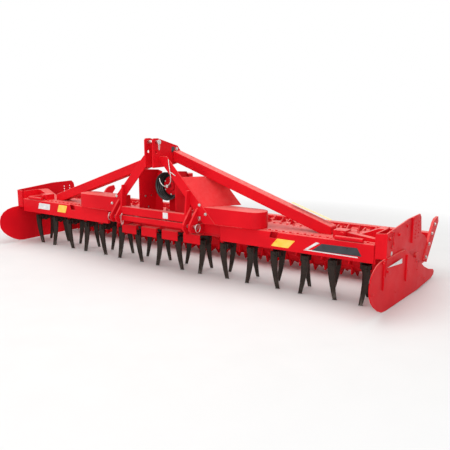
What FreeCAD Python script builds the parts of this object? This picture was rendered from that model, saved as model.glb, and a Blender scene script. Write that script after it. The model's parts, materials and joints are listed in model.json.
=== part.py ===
import FreeCAD, Part
import Sketcher
import math
import os

# Power harrow with sixteen driven rotors and a tooth packer roller.
# X runs along the gear trough, Y points to the rear, Z is up and the floor is Z = 0.
# The origin is the middle of the machine's outline on the floor, in millimetres.

document = FreeCAD.newDocument("PowerHarrow")
sheet = document.addObject("Spreadsheet::Sheet", "Sizes")


# Sizes that come from the sheet

class Size:
    """A number together with the sheet expression that it comes from."""

    def __init__(self, number, text):
        self.number = float(number)
        self.text = text

    def __add__(self, other):
        other = as_size(other)
        return Size(self.number + other.number, f"({self.text} + {other.text})")

    def __radd__(self, other):
        return as_size(other) + self

    def __sub__(self, other):
        other = as_size(other)
        return Size(self.number - other.number, f"({self.text} - {other.text})")

    def __rsub__(self, other):
        return as_size(other) - self

    def __mul__(self, other):
        other = as_size(other)
        return Size(self.number * other.number, f"({self.text} * {other.text})")

    def __rmul__(self, other):
        return as_size(other) * self

    def __truediv__(self, other):
        other = as_size(other)
        return Size(self.number / other.number, f"({self.text} / {other.text})")

    def __neg__(self):
        return Size(-self.number, f"(0 - {self.text})")


def as_size(value):
    if isinstance(value, Size):
        return value
    if value < 0:
        return Size(value, f"(0 - {abs(value)!r})")
    return Size(value, repr(value))


def cosine(angle):
    angle = as_size(angle)
    return Size(math.cos(math.radians(angle.number)), f"cos({angle.text} * 1 deg)")


def sine(angle):
    angle = as_size(angle)
    return Size(math.sin(math.radians(angle.number)), f"sin({angle.text} * 1 deg)")


def tangent(angle):
    angle = as_size(angle)
    return Size(math.tan(math.radians(angle.number)), f"tan({angle.text} * 1 deg)")


DRIVING_SIZES = [
    # name, value, what it is
    ("rotor_count", 16, "rotors along the trough"),
    ("rotor_pitch", 280, "from one rotor to the next"),
    ("front_reach", 505, "rotor line to the front edge of the side plates"),
    ("rear_reach", 1385, "rotor line to the back of the scraper beam"),
    ("sheet_wall", 8, "thickness of folded sheet parts"),
    ("plate_wall", 15, "thickness of heavy plates"),
    ("running_gap", 0.3, "gap between a turning face and its seat"),
    ("trough_bottom", 400, "height of the trough's underside"),
    ("trough_top", 540, "height of the trough's top flange"),
    ("trough_front", 180, "rotor line to the trough's front flange edge"),
    ("trough_rear", 170, "rotor line to the trough's rear flange edge"),
    ("trough_flange", 14, "thickness of the trough's top flange"),
    ("flange_width", 24, "width of the trough's top flange"),
    ("trough_slope", 45, "width of the trough's sloping lower corner"),
    ("cover_wall", 10, "thickness of the trough cover"),
    ("scallop_depth", 12, "depth of a notch in the cover's edge"),
    ("scallops_per_rotor", 4, "notches in each rotor pitch"),
    ("housing_radius", 82, "radius of a rotor bearing housing"),
    ("housing_depth", 18, "how far a bearing housing stands below the trough"),
    ("hub_radius", 62, "radius of a rotor hub"),
    ("holder_top", 350, "height of the tine holder's top"),
    ("holder_depth", 62, "height of the tine holder"),
    ("tine_circle", 118, "rotor axis to the middle of a tine's thickness"),
    ("tine_wall", 18, "thickness of a tine"),
    ("tine_top_width", 62, "width of a tine in its holder"),
    ("tine_tip_width", 32, "width of a tine at its tip"),
    ("tine_lean", 38, "how far a tine's tip trails behind its holder"),
    ("tine_lead", 14, "how far a tine's head stands ahead of the rotor's radius"),
    ("rotor_rest", 107, "angle of the tine pair from the X axis"),
    ("shield_wall", 6, "thickness of a front shield"),
    ("shield_front", 212, "rotor line to the front of a shield"),
    ("shield_bottom", 394, "height of a shield's lower edge"),
    ("shield_top", 548, "height of a shield's upper fold"),
    ("shield_inner", 750, "middle of the machine to a shield's inner end"),
    ("slot_x", 1285, "middle of the machine to the slot in a shield's upper edge"),
    ("slot_width", 70, "width of the slot in a shield"),
    ("slot_depth", 56, "depth of the slot in a shield"),
    ("slot_lean", 18, "how far the slot's top stands outside its foot"),
    ("guard_width", 205, "width of a stone guard"),
    ("guard_front", 230, "rotor line to the front of a stone guard"),
    ("guard_bottom", 328, "height of a stone guard's lower edge"),
    ("guard_fold", 424, "height of a stone guard's forward fold"),
    ("guard_top", 512, "height of a stone guard's upper edge"),
    ("cheek_gap", 86, "inside distance between the headstock cheeks"),
    ("cheek_front", 350, "rotor line to the front of the cheeks"),
    ("cheek_clearance", 91, "gearbox top to the cheeks' lower front corner"),
    ("cheek_height", 283, "height of the headstock cheeks"),
    ("cheek_nose", 75, "length of the cheeks' level top"),
    ("top_pin_radius", 15.9, "radius of the top link pin"),
    ("top_pin_setback", 50, "cheek front to the top link pin"),
    ("top_pin_drop", 35, "headstock top to the top link pin"),
    ("second_hole", 95, "top link pin down to the cheeks' second hole"),
    ("tie_lift", 20, "cheeks' lower corner to the tie plate between them"),
    ("tie_ahead", 170, "rotor line to the front of the tie plate"),
    ("pin_overhang", 30, "how far a hitch pin stands out of its plates"),
    ("pin_play", 0.1, "radial play of a hitch pin"),
    ("pin_head", 12, "thickness of a hitch pin's head"),
    ("pin_rim", 8, "how far a hitch pin's head stands out around it"),
    ("link_spread", 482.5, "middle of the machine to a lower link ball"),
    ("link_pin_radius", 18.3, "radius of a lower link pin"),
    ("link_gap", 54, "gap between the two plates that hold a lower link ball"),
    ("link_forward", 330, "rotor line to the lower link pins"),
    ("link_height", 520, "height of the lower link pins"),
    ("link_plate", 20, "thickness of a lower link plate"),
    ("leg_front", 262, "rotor line to the front of the A-frame legs"),
    ("leg_wall", 12, "thickness of an A-frame leg"),
    ("leg_width", 140, "width of a leg, measured along X"),
    ("leg_foot_x", 728, "outer foot corner of a leg"),
    ("leg_top_x", 149, "outer top corner of a leg"),
    ("leg_drop", 173, "headstock top to a leg's top"),
    ("brace_height", 105.5, "height of the long brace tube, measured upright"),
    ("brace_depth", 116, "depth of the long brace tube"),
    ("brace_seat", 49, "cheeks' lower corner to the long brace's underside"),
    ("brace_foot_x", 1800, "outer end of the long brace"),
    ("brace_foot", 110, "length of the long brace's level foot"),
    ("box_height", 152, "height of the headstock's side box"),
    ("box_end_x", 1090, "outer end of the side box"),
    ("box_rear", 20, "rotor line to the back of the side box"),
    ("box_nose", 112, "length of the side box's round end"),
    ("pto_height", 844, "height of the drive shaft"),
    ("pto_guard_radius", 145, "radius of the drive shaft guard"),
    ("pto_guard_front", 105, "rotor line to the guard's mouth"),
    ("pto_guard_length", 95, "length of the guard"),
    ("gearbox_gap", 12, "back of the guard to the gearbox's body"),
    ("pto_guard_wall", 5, "thickness of the guard"),
    ("pto_shaft_radius", 17.5, "radius of the drive shaft"),
    ("pto_shaft_length", 80, "length of the drive shaft's free end"),
    ("gearbox_half", 105, "half the width of the gearbox"),
    ("gearbox_head", 115, "drive shaft's axis to the gearbox's top"),
    ("gearbox_foot", 22, "thickness of the gearbox's foot"),
    ("gearbox_foot_edge", 25, "how far the gearbox's foot stands out"),
    ("gearbox_corner", 35, "chamfer on the gearbox's corners"),
    ("gearbox_flange", 88, "radius of the gearbox's bearing flange"),
    ("end_plate_wall", 12, "thickness of the trough's end plate"),
    ("pivot_y", 100, "rotor line forward to the roller frame's pivot"),
    ("pivot_height", 470, "height of the roller frame's pivot"),
    ("pivot_radius", 20, "radius of the roller frame's pivot pin"),
    ("pivot_play", 0.05, "radial play of the pivot pin"),
    ("arm_wall", 15, "thickness of a roller arm"),
    ("arm_gap", 32, "gap on each side of a roller arm"),
    ("roller_y", 710, "rotor line to the roller's axis"),
    ("roller_tube", 200, "radius of the roller's tube"),
    ("roller_wall", 10, "thickness of the roller's tube"),
    ("roller_inset", 15, "trough end to the end of the roller's tube"),
    ("disc_inset", 60, "tube end to the disc that carries a journal"),
    ("journal_radius", 40, "radius of the roller's journals"),
    ("tooth_reach", 257, "roller axis to a tooth's tip"),
    ("tooth_count", 10, "teeth in one ring"),
    ("tooth_wall", 16, "thickness of a tooth ring"),
    ("rings_per_rotor", 2, "tooth rings in each rotor pitch"),
    ("ring_setback", 7, "tube to the tip of a scraper"),
    ("scraper_width", 76, "width of a scraper"),
    ("scraper_wall", 12, "thickness of a scraper"),
    ("scraper_rise", 20, "angle above the roller's axis at which a scraper meets the tube"),
    ("boss_radius", 62, "radius of a roller bearing's boss"),
    ("boss_depth", 16, "how far a roller bearing's boss stands out of its arm"),
    ("carrier_wall", 10, "thickness of the plate that carries the scraper beam"),
    ("side_plate_angle", 2.5, "how far the side plates open to the rear"),
    ("rib_wall", 12, "thickness of a rib on the end plates"),
    ("rib_reach", 14, "how far a rib stands out of its plate"),
    ("rib_line", 385, "rotor line back to the end bracket's rib"),
    ("rib_bottom", 470, "height of the foot of the end bracket's rib"),
    ("rib_top", 692, "height of the top of the end bracket's rib"),
    ("depth_hole", 11, "radius of a depth setting hole"),
    ("depth_hole_bottom", 490, "height of the lowest depth setting hole"),
    ("depth_hole_pitch", 34, "from one depth setting hole to the next"),
    ("fitting_start", 1860, "middle of the machine to the fittings on the trough's end"),
    ("block_length", 110, "length of the brace's end block"),
    ("block_front", 150, "rotor line to the front of the brace's end block"),
    ("block_rear", 40, "rotor line to the back of the brace's end block"),
    ("block_height", 68, "height of the brace's end block"),
    ("block_boss", 26, "radius of the boss on the brace's end block"),
    ("boss_reach", 14, "how far the boss stands out of the end block"),
    ("strap_front", 60, "rotor line to the flat bar behind the end block"),
    ("strap_width", 60, "width of the flat bar"),
    ("strap_rise", 52, "height of the flat bar at the end block"),
    ("strap_fall", 22, "height of the flat bar at the trough's end"),
    ("gusset_start", 1980, "middle of the machine to the foot of the end gusset"),
    ("gusset_rise", 88, "height of the end gusset"),
    ("gusset_crest", 50, "length of the end gusset's level top"),
    ("gusset_front", 10, "rotor line back to the end gusset's front cheek"),
    ("gusset_depth", 110, "front cheek to rear cheek of the end gusset"),
    ("fitting_wall", 10, "thickness of the fittings' sheets"),
    ("rod_radius", 18, "radius of the rod along a shield's top"),
    ("rod_length", 240, "length of the rod along a shield's top"),
    ("rod_end", 100, "trough's end to the rod along a shield's top"),
    ("bracket_front", 205, "rotor line to the front of the end brackets"),
    ("spacer_back", 150, "rotor line to the side plate's rear spacer"),
    ("spacer_height", 420, "height of the side plate's rear spacer"),
    ("spacer_radius", 18, "radius of the side plate's rear spacer"),
    ("beam_size", 80, "height and depth of the scraper beam"),
    ("beam_bottom", 470, "height of the scraper beam's underside"),
]

# Outlines of flat plates. Each row is a corner: its distance behind the rotor line and its height.
END_PLATE_CORNERS = [(-205, 390), (180, 390), (180, 560), (60, 640), (-190, 640), (-205, 600)]
BRACKET_CORNERS = [
    (-205, 300), (-205, 652), (309, 692), (620, 692), (655, 660), (690, 500), (715, 470), (560, 400), (120, 400),
    (-60, 300),
]
ARM_CORNERS = [
    (-160, 440), (-160, 500), (-120, 530), (300, 530), (700, 500), (860, 468), (960, 432), (1040, 380), (1090, 310),
    (1105, 235), (1060, 180), (980, 165), (640, 165), (560, 185), (480, 260), (200, 400), (-120, 410),
]

# Corners of the scraper beam's carrier: distance ahead of the machine's back and height
CARRIER_CORNERS = [(460, 200), (340, 155), (5, 505), (25, 560), (120, 550), (175, 520)]

# Columns of depth setting holes: distance behind the rotor line
DEPTH_COLUMNS = (500, 590)

# Corners of a side plate: distance behind its front edge and height
SIDE_PLATE_CORNERS = [
    (300, 455), (195, 446), (120, 428), (60, 396), (20, 350), (3, 300), (0, 250), (12, 204), (45, 154), (95, 108),
    (180, 54), (260, 22), (330, 12), (760, 12), (860, 30), (945, 68), (1025, 130), (1080, 200), (1080, 260),
    (700, 455),
]

# Ribs on a side plate: start and end behind its front edge, lower and upper height
SIDE_PLATE_RIBS = [(250, 262, 205, 440), (742, 754, 165, 400), (300, 700, 443, 455)]

for row, (name, value, meaning) in enumerate(DRIVING_SIZES, start=1):
    sheet.set(f"A{row}", meaning)
    sheet.set(f"B{row}", str(value))
    sheet.setAlias(f"B{row}", name)
document.recompute()

size = {name: Size(value, f"Sizes.{name}") for name, value, meaning in DRIVING_SIZES}

ROTORS = int(size["rotor_count"].number)
HUB_SIDES = 12
DEPTH_ROWS = 5
DEPTH_HOLE_SIDES = 6
HOUSING_SIDES = 14
GUARD_SIDES = 28
PIN_HEAD_SIDES = 8
TUBE_SIDES = int(size["tooth_count"].number) * 2
rotor_line = (size["front_reach"] - size["rear_reach"]) / 2
half_width = size["rotor_pitch"] * size["rotor_count"] / 2
deck = size["trough_top"] + size["cover_wall"]
first_rotor = size["rotor_pitch"] / 2 - half_width
pivot_line = rotor_line - size["pivot_y"]
roller_line = rotor_line + size["roller_y"]
roller_height = size["tooth_reach"]
gearbox_top = size["pto_height"] + size["gearbox_head"]
cheek_bottom = gearbox_top + size["cheek_clearance"]
cheek_top = cheek_bottom + size["cheek_height"]
leg_top = cheek_top - size["leg_drop"]
cheek_outer = size["cheek_gap"] / 2 + size["plate_wall"]


def back(distance):
    """Y of a point at a distance behind the rotor line."""
    return rotor_line + distance


def ahead(distance):
    """Y of a point at a distance ahead of the rotor line."""
    return rotor_line - distance


def behind(corners):
    """Corners given by their distance behind the rotor line and their height."""
    return [(back(distance), height) for distance, height in corners]


# Building helpers

parts = {}


def bind(target, prop, value):
    value = as_size(value)
    target.setExpression(prop, value.text)


def keep(piece, name):
    piece.Label = name
    parts[name] = piece
    return piece


def new_body(name):
    body = document.addObject("PartDesign::Body", name)
    body.Label = name
    return body


def origin_feature(body, role):
    return next(item for item in body.Origin.OriginFeatures if item.Role == role)


def new_sketch(body, plane, height=0):
    """Sketch on an origin plane, moved along the plane's normal."""
    sketch = body.newObject("Sketcher::SketchObject", body.Label + "_sketch")
    sketch.AttachmentSupport = [(origin_feature(body, plane + "_Plane"), "")]
    sketch.MapMode = "FlatFace"
    bind(sketch, "AttachmentOffset.Base.z", height)
    return sketch


def pin_point(sketch, geometry, end, x, y):
    """Tie one end of a sketch line to its sizes."""
    for kind, value in (("DistanceX", as_size(x)), ("DistanceY", as_size(y))):
        index = sketch.addConstraint(Sketcher.Constraint(kind, -1, 1, geometry, end, value.number))
        bind(sketch, f"Constraints[{index}]", value)


def draw_outline(sketch, points):
    """Closed outline through the points, each tied to its sizes."""
    points = [(as_size(x), as_size(y)) for x, y in points]
    corners = [FreeCAD.Vector(x.number, y.number, 0) for x, y in points]
    first = sketch.GeometryCount
    count = len(points)
    for index, corner in enumerate(corners):
        sketch.addGeometry(Part.LineSegment(corner, corners[(index + 1) % count]), False)
    for index in range(count):
        following = first + (index + 1) % count
        sketch.addConstraint(Sketcher.Constraint("Coincident", first + index, 2, following, 1))
    for index, (x, y) in enumerate(points):
        pin_point(sketch, first + index, 1, x, y)


def draw_circle(sketch, x, y, radius):
    x, y, radius = as_size(x), as_size(y), as_size(radius)
    circle = Part.Circle(FreeCAD.Vector(x.number, y.number, 0), FreeCAD.Vector(0, 0, 1), radius.number)
    geometry = sketch.addGeometry(circle, False)
    pin_point(sketch, geometry, 3, x, y)
    index = sketch.addConstraint(Sketcher.Constraint("Radius", geometry, radius.number))
    bind(sketch, f"Constraints[{index}]", radius)


def draw_polygon(sketch, x, y, radius, sides):
    """Regular polygon whose corners lie on a circle, with a corner at its lowest point."""
    angles = [-90 + corner * 360 / sides for corner in range(sides)]
    draw_outline(sketch, [(x + radius * cosine(angle), y + radius * sine(angle)) for angle in angles])


def pad(body, sketch, length, both_ways=False, reverse=False):
    feature = body.newObject("PartDesign::Pad", body.Label + "_pad")
    feature.Profile = sketch
    bind(feature, "Length", length)
    if both_ways:
        feature.SideType = "Symmetric"
    feature.Reversed = reverse
    return feature


def pocket(body, sketch, length, both_ways=False, reverse=False):
    feature = body.newObject("PartDesign::Pocket", body.Label + "_pocket")
    feature.Profile = sketch
    bind(feature, "Length", length)
    if both_ways:
        feature.SideType = "Symmetric"
    feature.Reversed = reverse
    return feature


def repeat(body, features, axis, length, count):
    """Copies of features along an axis of the body."""
    pattern = body.newObject("PartDesign::LinearPattern", body.Label + "_row")
    pattern.Originals = features
    pattern.Direction = (origin_feature(body, axis + "_Axis"), [""])
    bind(pattern, "Length", length)
    bind(pattern, "Occurrences", count)
    body.Tip = pattern
    return pattern


def plate(name, plane, position, thickness, outline, holes=()):
    """Flat plate cut from sheet: an outline with round holes, padded along the plane's normal."""
    body = new_body(name)
    sketch = new_sketch(body, plane, position)
    draw_outline(sketch, outline)
    for x, y, radius in holes:
        draw_circle(sketch, x, y, radius)
    pad(body, sketch, thickness)
    return body


def bar(name, start, axis, length, radius):
    """Round bar from a start point along an axis."""
    turns = {"X": ((0, 1, 0), 90), "Y": ((1, 0, 0), -90), "Z": ((0, 0, 1), 0)}
    direction, angle = turns[axis]
    cylinder = document.addObject("Part::Cylinder", name)
    bind(cylinder, "Radius", radius)
    bind(cylinder, "Height", length)
    cylinder.Placement.Rotation = FreeCAD.Rotation(FreeCAD.Vector(*direction), angle)
    for letter, value in zip("xyz", start):
        bind(cylinder, f"Placement.Base.{letter}", value)
    return cylinder


def join(name, pieces):
    fused = document.addObject("Part::MultiFuse", name)
    fused.Shapes = pieces
    return fused


def cut(name, base, tool):
    result = document.addObject("Part::Cut", name)
    result.Base = base
    result.Tool = tool
    return result


def group(name, pieces):
    """Several solids that share one node and don't touch."""
    compound = document.addObject("Part::Compound", name)
    compound.Links = pieces
    return compound


def mirrored(name, source):
    mirror = document.addObject("Part::Mirroring", name)
    mirror.Source = source
    mirror.Normal = FreeCAD.Vector(1, 0, 0)
    return mirror


def keep_both_sides(piece, name):
    """The right piece and its mirror image on the left."""
    keep(piece, name + "_right")
    keep(mirrored(name + "_mirror", piece), name + "_left")


# Gear trough with its rotor bearing housings

def build_trough():
    body = new_body("gear_trough")
    flange_under = size["trough_top"] - size["trough_flange"]
    front_wall = ahead(size["trough_front"] - size["flange_width"])
    rear_wall = back(size["trough_rear"] - size["flange_width"])
    slope_top = size["trough_bottom"] + size["trough_slope"]
    sketch = new_sketch(body, "YZ")
    draw_outline(sketch, [
        (ahead(size["trough_front"]), size["trough_top"]),
        (ahead(size["trough_front"]), flange_under),
        (front_wall, flange_under),
        (front_wall, slope_top),
        (front_wall + size["trough_slope"], size["trough_bottom"]),
        (rear_wall - size["trough_slope"], size["trough_bottom"]),
        (rear_wall, slope_top),
        (rear_wall, flange_under),
        (back(size["trough_rear"]), flange_under),
        (back(size["trough_rear"]), size["trough_top"]),
    ])
    pad(body, sketch, half_width * 2, both_ways=True)
    housing_sketch = new_sketch(body, "XY", size["trough_bottom"])
    draw_polygon(housing_sketch, first_rotor, rotor_line, size["housing_radius"], HOUSING_SIDES)
    housing = pad(body, housing_sketch, size["housing_depth"], reverse=True)
    repeat(body, [housing], "X", size["rotor_pitch"] * (size["rotor_count"] - 1), size["rotor_count"])
    keep(body, "gear_trough")


# Cover plate with a notch beside each cover bolt

def build_cover():
    body = new_body("trough_cover")
    front, rear = ahead(size["trough_front"]), back(size["trough_rear"])
    sketch = new_sketch(body, "XY", size["trough_top"])
    draw_outline(sketch, [(-half_width, front), (half_width, front), (half_width, rear), (-half_width, rear)])
    pad(body, sketch, size["cover_wall"])
    spacing = size["rotor_pitch"] / size["scallops_per_rotor"]
    start = -half_width + spacing / 2
    notches = new_sketch(body, "XY", deck)
    for edge, depth in ((front, size["scallop_depth"]), (rear, -size["scallop_depth"])):
        draw_outline(notches, [
            (start - spacing * 0.3, edge - depth * 0.2),
            (start + spacing * 0.3, edge - depth * 0.2),
            (start, edge + depth),
        ])
    cutter = pocket(body, notches, size["cover_wall"])
    count = size["rotor_count"] * size["scallops_per_rotor"]
    repeat(body, [cutter], "X", spacing * (count - 1), count)
    keep(body, "trough_cover")


# Front shields: folded sheets ahead of the trough, one each side of the headstock

def build_shields():
    body = new_body("front_shield_right")
    wall = size["shield_wall"]
    front = ahead(size["shield_front"])
    trough_edge = ahead(size["trough_front"]) - 0.5
    sketch = new_sketch(body, "YZ", size["shield_inner"])
    draw_outline(sketch, [
        (front, size["shield_bottom"]),
        (front + wall, size["shield_bottom"]),
        (front + wall, size["shield_top"] - wall),
        (trough_edge, size["shield_top"] - wall),
        (trough_edge, size["shield_top"]),
        (front + wall, size["shield_top"]),
        (front, size["shield_top"] - wall),
    ])
    pad(body, sketch, half_width - size["shield_inner"])
    fold = new_sketch(body, "XY", size["shield_bottom"])
    draw_outline(fold, [
        (size["shield_inner"], front),
        (size["shield_inner"] + wall, front),
        (size["shield_inner"] + wall, trough_edge),
        (size["shield_inner"], trough_edge),
    ])
    pad(body, fold, size["shield_top"] - size["shield_bottom"] - wall)
    slot = new_sketch(body, "XZ", -front)
    draw_outline(slot, [
        (size["slot_x"], size["shield_top"] - size["slot_depth"]),
        (size["slot_x"] + size["slot_width"], size["shield_top"] - size["slot_depth"]),
        (size["slot_x"] + size["slot_width"] + size["slot_lean"], size["shield_top"] + wall),
        (size["slot_x"] + size["slot_lean"], size["shield_top"] + wall),
    ])
    pocket(body, slot, wall * 2)
    keep(group("front_shields", [body, mirrored("front_shield_mirror", body)]), "front_shields")


# Stone guards: folded sheets ahead of the rotors between the shields

def build_stone_guards():
    wall = size["sheet_wall"]
    trough_face = ahead(size["trough_front"] - size["flange_width"]) - size["running_gap"]
    front = ahead(size["guard_front"])
    guards = []
    for place in (-1.5, -0.5, 0.5, 1.5):
        guard = new_body("stone_guard")
        sketch = new_sketch(guard, "YZ", size["rotor_pitch"] * place - size["guard_width"] / 2)
        draw_outline(sketch, [
            (trough_face, size["guard_top"]),
            (trough_face - wall, size["guard_top"]),
            (trough_face - wall, size["guard_fold"]),
            (front + wall, size["guard_fold"]),
            (front, size["guard_fold"] - wall),
            (front, size["guard_bottom"]),
            (front + wall, size["guard_bottom"]),
            (front + wall, size["guard_fold"] - wall),
            (trough_face, size["guard_fold"] - wall),
        ])
        pad(guard, sketch, size["guard_width"])
        guards.append(guard)
    keep(group("stone_guards", guards), "stone_guards")


# Headstock: two cheeks with the top link holes, tied by a back plate

def build_headstock():
    front = ahead(size["cheek_front"])
    pin_y = front + size["top_pin_setback"]
    pin_z = cheek_top - size["top_pin_drop"]
    outline = [
        (front, cheek_bottom),
        (front, cheek_top - 15),
        (front + 15, cheek_top),
        (front + size["cheek_nose"], cheek_top),
        (back(20), cheek_top - 83),
        (back(95), cheek_top - 168),
        (back(120), cheek_bottom + 40),
        (ahead(140), cheek_bottom),
    ]
    holes = [
        (pin_y, pin_z, size["top_pin_radius"]),
        (pin_y, pin_z - size["second_hole"], size["top_pin_radius"]),
    ]
    right = plate("cheek", "YZ", size["cheek_gap"] / 2, size["plate_wall"], outline, holes)
    left = mirrored("cheek_mirror", right)
    tie = new_body("cheek_tie")
    tie_sketch = new_sketch(tie, "XY", cheek_bottom + size["tie_lift"])
    tie_front = ahead(size["tie_ahead"])
    draw_outline(tie_sketch, [
        (-size["cheek_gap"] / 2, tie_front),
        (size["cheek_gap"] / 2, tie_front),
        (size["cheek_gap"] / 2, tie_front + size["plate_wall"]),
        (-size["cheek_gap"] / 2, tie_front + size["plate_wall"]),
    ])
    pad(tie, tie_sketch, size["cheek_height"] - size["tie_lift"] * 2 - size["top_pin_drop"] * 2)
    keep(join("headstock", [right, left, tie]), "headstock")


def build_hitch_pins():
    """Top link pin and the two lower link pins, each a shaft with a head."""
    top_length = cheek_outer * 2 + size["pin_overhang"] * 2
    low_start = size["link_spread"] - size["link_gap"] / 2 - size["link_plate"] + 0.5
    low_length = size["link_gap"] + size["link_plate"] * 2 + size["pin_overhang"]
    top_y = ahead(size["cheek_front"]) + size["top_pin_setback"]
    low_y = ahead(size["link_forward"])
    pins = []
    for name, start, length, y, z, radius in (
        ("top_pin", -top_length / 2, top_length, top_y, cheek_top - size["top_pin_drop"], size["top_pin_radius"]),
        ("low_pin", low_start, low_length, low_y, size["link_height"], size["link_pin_radius"]),
    ):
        shaft = bar(name + "_shaft", (start, y, z), "X", length, radius - size["pin_play"])
        head = new_body(name + "_head")
        head_sketch = new_sketch(head, "YZ", start + length)
        draw_polygon(head_sketch, y, z, radius + size["pin_rim"], PIN_HEAD_SIDES)
        pad(head, head_sketch, size["pin_head"])
        pins.append(join(name, [shaft, head]))
    pins.append(mirrored("low_pin_mirror", pins[1]))
    keep(group("hitch_pins", pins), "hitch_pins")


# A-frame: a sloping leg each side, with a side box on the trough and a gusset up to the long brace

def leg_outer_x(height):
    """X of the leg's outer edge at a height."""
    return size["leg_foot_x"] - (height - deck) * ((size["leg_foot_x"] - size["leg_top_x"]) / (leg_top - deck))


def brace_under(x):
    """Height of the long brace's underside at an X."""
    foot = size["brace_foot_x"] - size["brace_foot"]
    return deck + (foot - x) * ((cheek_bottom + size["brace_seat"] - deck) / (foot - cheek_outer))


def build_brace():
    start, end = cheek_outer, size["brace_foot_x"]
    brace = new_body("long_brace")
    sketch = new_sketch(brace, "XZ", -rotor_line)
    draw_outline(sketch, [
        (start, brace_under(start)),
        (end - size["brace_foot"], deck),
        (end, deck),
        (end, brace_under(end) + size["brace_height"]),
        (start, brace_under(start) + size["brace_height"]),
    ])
    pad(brace, sketch, size["brace_depth"], both_ways=True)
    keep_both_sides(brace, "long_brace")
    return brace


def build_a_frame(brace):
    front = -ahead(size["leg_front"])
    leg = plate("leg_plate", "XZ", front - size["leg_wall"], size["leg_wall"], [
        (size["leg_foot_x"] - size["leg_width"], deck),
        (size["leg_foot_x"], deck),
        (size["leg_top_x"], leg_top),
        (cheek_outer, leg_top),
        (cheek_outer, leg_top - 40),
    ])
    box_top = deck + size["box_height"]
    box = new_body("side_box")
    sketch = new_sketch(box, "XY", deck)
    box_front = ahead(size["leg_front"]) + size["leg_wall"]
    box_start = size["leg_foot_x"] - size["leg_width"]
    box_middle = (box_front + ahead(size["box_rear"])) / 2
    box_half = (ahead(size["box_rear"]) - box_front) / 2
    draw_outline(sketch, [(box_start, box_front)] + [
        (size["box_end_x"] + size["box_nose"] * cosine(angle), box_middle + box_half * sine(angle))
        for angle in range(-90, 91, 20)
    ] + [(box_start, ahead(size["box_rear"]))])
    pad(box, sketch, size["box_height"])
    keep_both_sides(join("a_frame_sheets", [leg, box]), "a_frame")
    gusset = new_body("gusset_sheet")
    gusset_sketch = new_sketch(gusset, "XZ", front - size["leg_wall"] - size["running_gap"])
    top, wall = leg_top - 190, size["sheet_wall"]
    draw_outline(gusset_sketch, [
        (leg_outer_x(box_top) - wall, box_top),
        (leg_outer_x(box_top), box_top),
        (leg_outer_x(top), top),
        (leg_outer_x(top) - wall, top),
    ])
    sheet_pad = pad(gusset, gusset_sketch, 390)
    sheet_pad.UseCustomVector = True
    sheet_pad.Direction = FreeCAD.Vector(0.56, 0.83, 0)
    sheet_pad.AlongSketchNormal = False
    right = cut("gusset_cut", gusset, brace)
    keep(group("gussets", [right, mirrored("gusset_mirror", right)]), "gussets")


# Cross beams and lower link brackets

def build_hitch():
    top_beam = document.addObject("Part::Box", "upper_beam")
    low_beam = document.addObject("Part::Box", "lower_beam")
    half_span = size["link_spread"] - size["link_gap"] / 2 - size["link_plate"] * 2
    for beam, depth, lift, tall in ((top_beam, 60, 30, 80), (low_beam, 50, -35, 55)):
        bind(beam, "Length", half_span * 2)
        bind(beam, "Width", depth)
        bind(beam, "Height", tall)
        bind(beam, "Placement.Base.x", -half_span)
        bind(beam, "Placement.Base.y", ahead(size["link_forward"]))
        bind(beam, "Placement.Base.z", size["link_height"] + lift)
    keep(group("cross_beams", [top_beam, low_beam]), "cross_beams")
    rear = ahead(size["trough_front"]) - 0.5
    pin_y, pin_z = ahead(size["link_forward"]), size["link_height"]
    leg_face = ahead(size["leg_front"]) - 0.5
    step = size["trough_top"] - 12
    ear = [
        (rear, pin_z - 85),
        (rear, step),
        (leg_face, step),
        (leg_face, pin_z + 170),
        (pin_y + 30, pin_z + 130),
        (pin_y - 60, pin_z + 20),
        (pin_y - 60, pin_z - 25),
        (pin_y - 30, pin_z - 55),
    ]
    post = [
        (rear, pin_z - 85),
        (rear, step),
        (leg_face, step),
        (leg_face, pin_z + 330),
        (leg_face - 40, pin_z + 330),
        (pin_y, pin_z + 100),
        (pin_y, pin_z - 85),
    ]
    hole = [(pin_y, pin_z, size["link_pin_radius"])]
    inner_ear_x = size["link_spread"] - size["link_gap"] / 2 - size["link_plate"]
    outer_ear_x = size["link_spread"] + size["link_gap"] / 2
    inner_ear = plate("inner_ear", "YZ", inner_ear_x, size["link_plate"], ear, hole)
    outer_ear = plate("outer_ear", "YZ", outer_ear_x, size["link_plate"], ear, hole)
    inner_post = plate("inner_post", "YZ", inner_ear_x - size["link_plate"], size["link_plate"], post)
    keep_both_sides(group("hitch_bracket_pieces", [join("inner_pair", [inner_post, inner_ear]), outer_ear]),
                    "hitch_bracket")

# Gearbox, drive shaft and its guard

def build_drive():
    half, corner = size["gearbox_half"], size["gearbox_corner"]
    front = ahead(size["pto_guard_front"] - size["pto_guard_length"]) + size["gearbox_gap"]
    middle = front + half + size["gearbox_foot_edge"]
    body = new_body("gearbox")
    for stage, reach, start, height in (
        ("foot", half + size["gearbox_foot_edge"], deck, size["gearbox_foot"]),
        ("case", half, deck + size["gearbox_foot"], gearbox_top - deck - size["gearbox_foot"]),
    ):
        sketch = new_sketch(body, "XY", start)
        draw_outline(sketch, [
            (-reach + corner, middle - reach),
            (reach - corner, middle - reach),
            (reach, middle - reach + corner),
            (reach, middle + reach - corner),
            (reach - corner, middle + reach),
            (-reach + corner, middle + reach),
            (-reach, middle + reach - corner),
            (-reach, middle - reach + corner),
        ])
        pad(body, sketch, height)
    flange_sketch = new_sketch(body, "XZ", -ahead(size["pto_guard_front"] - size["pto_guard_length"]))
    draw_circle(flange_sketch, 0, size["pto_height"], size["gearbox_flange"])
    pad(body, flange_sketch, size["gearbox_gap"] + size["gearbox_foot_edge"] + corner, reverse=True)
    keep(body, "gearbox")


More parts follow.
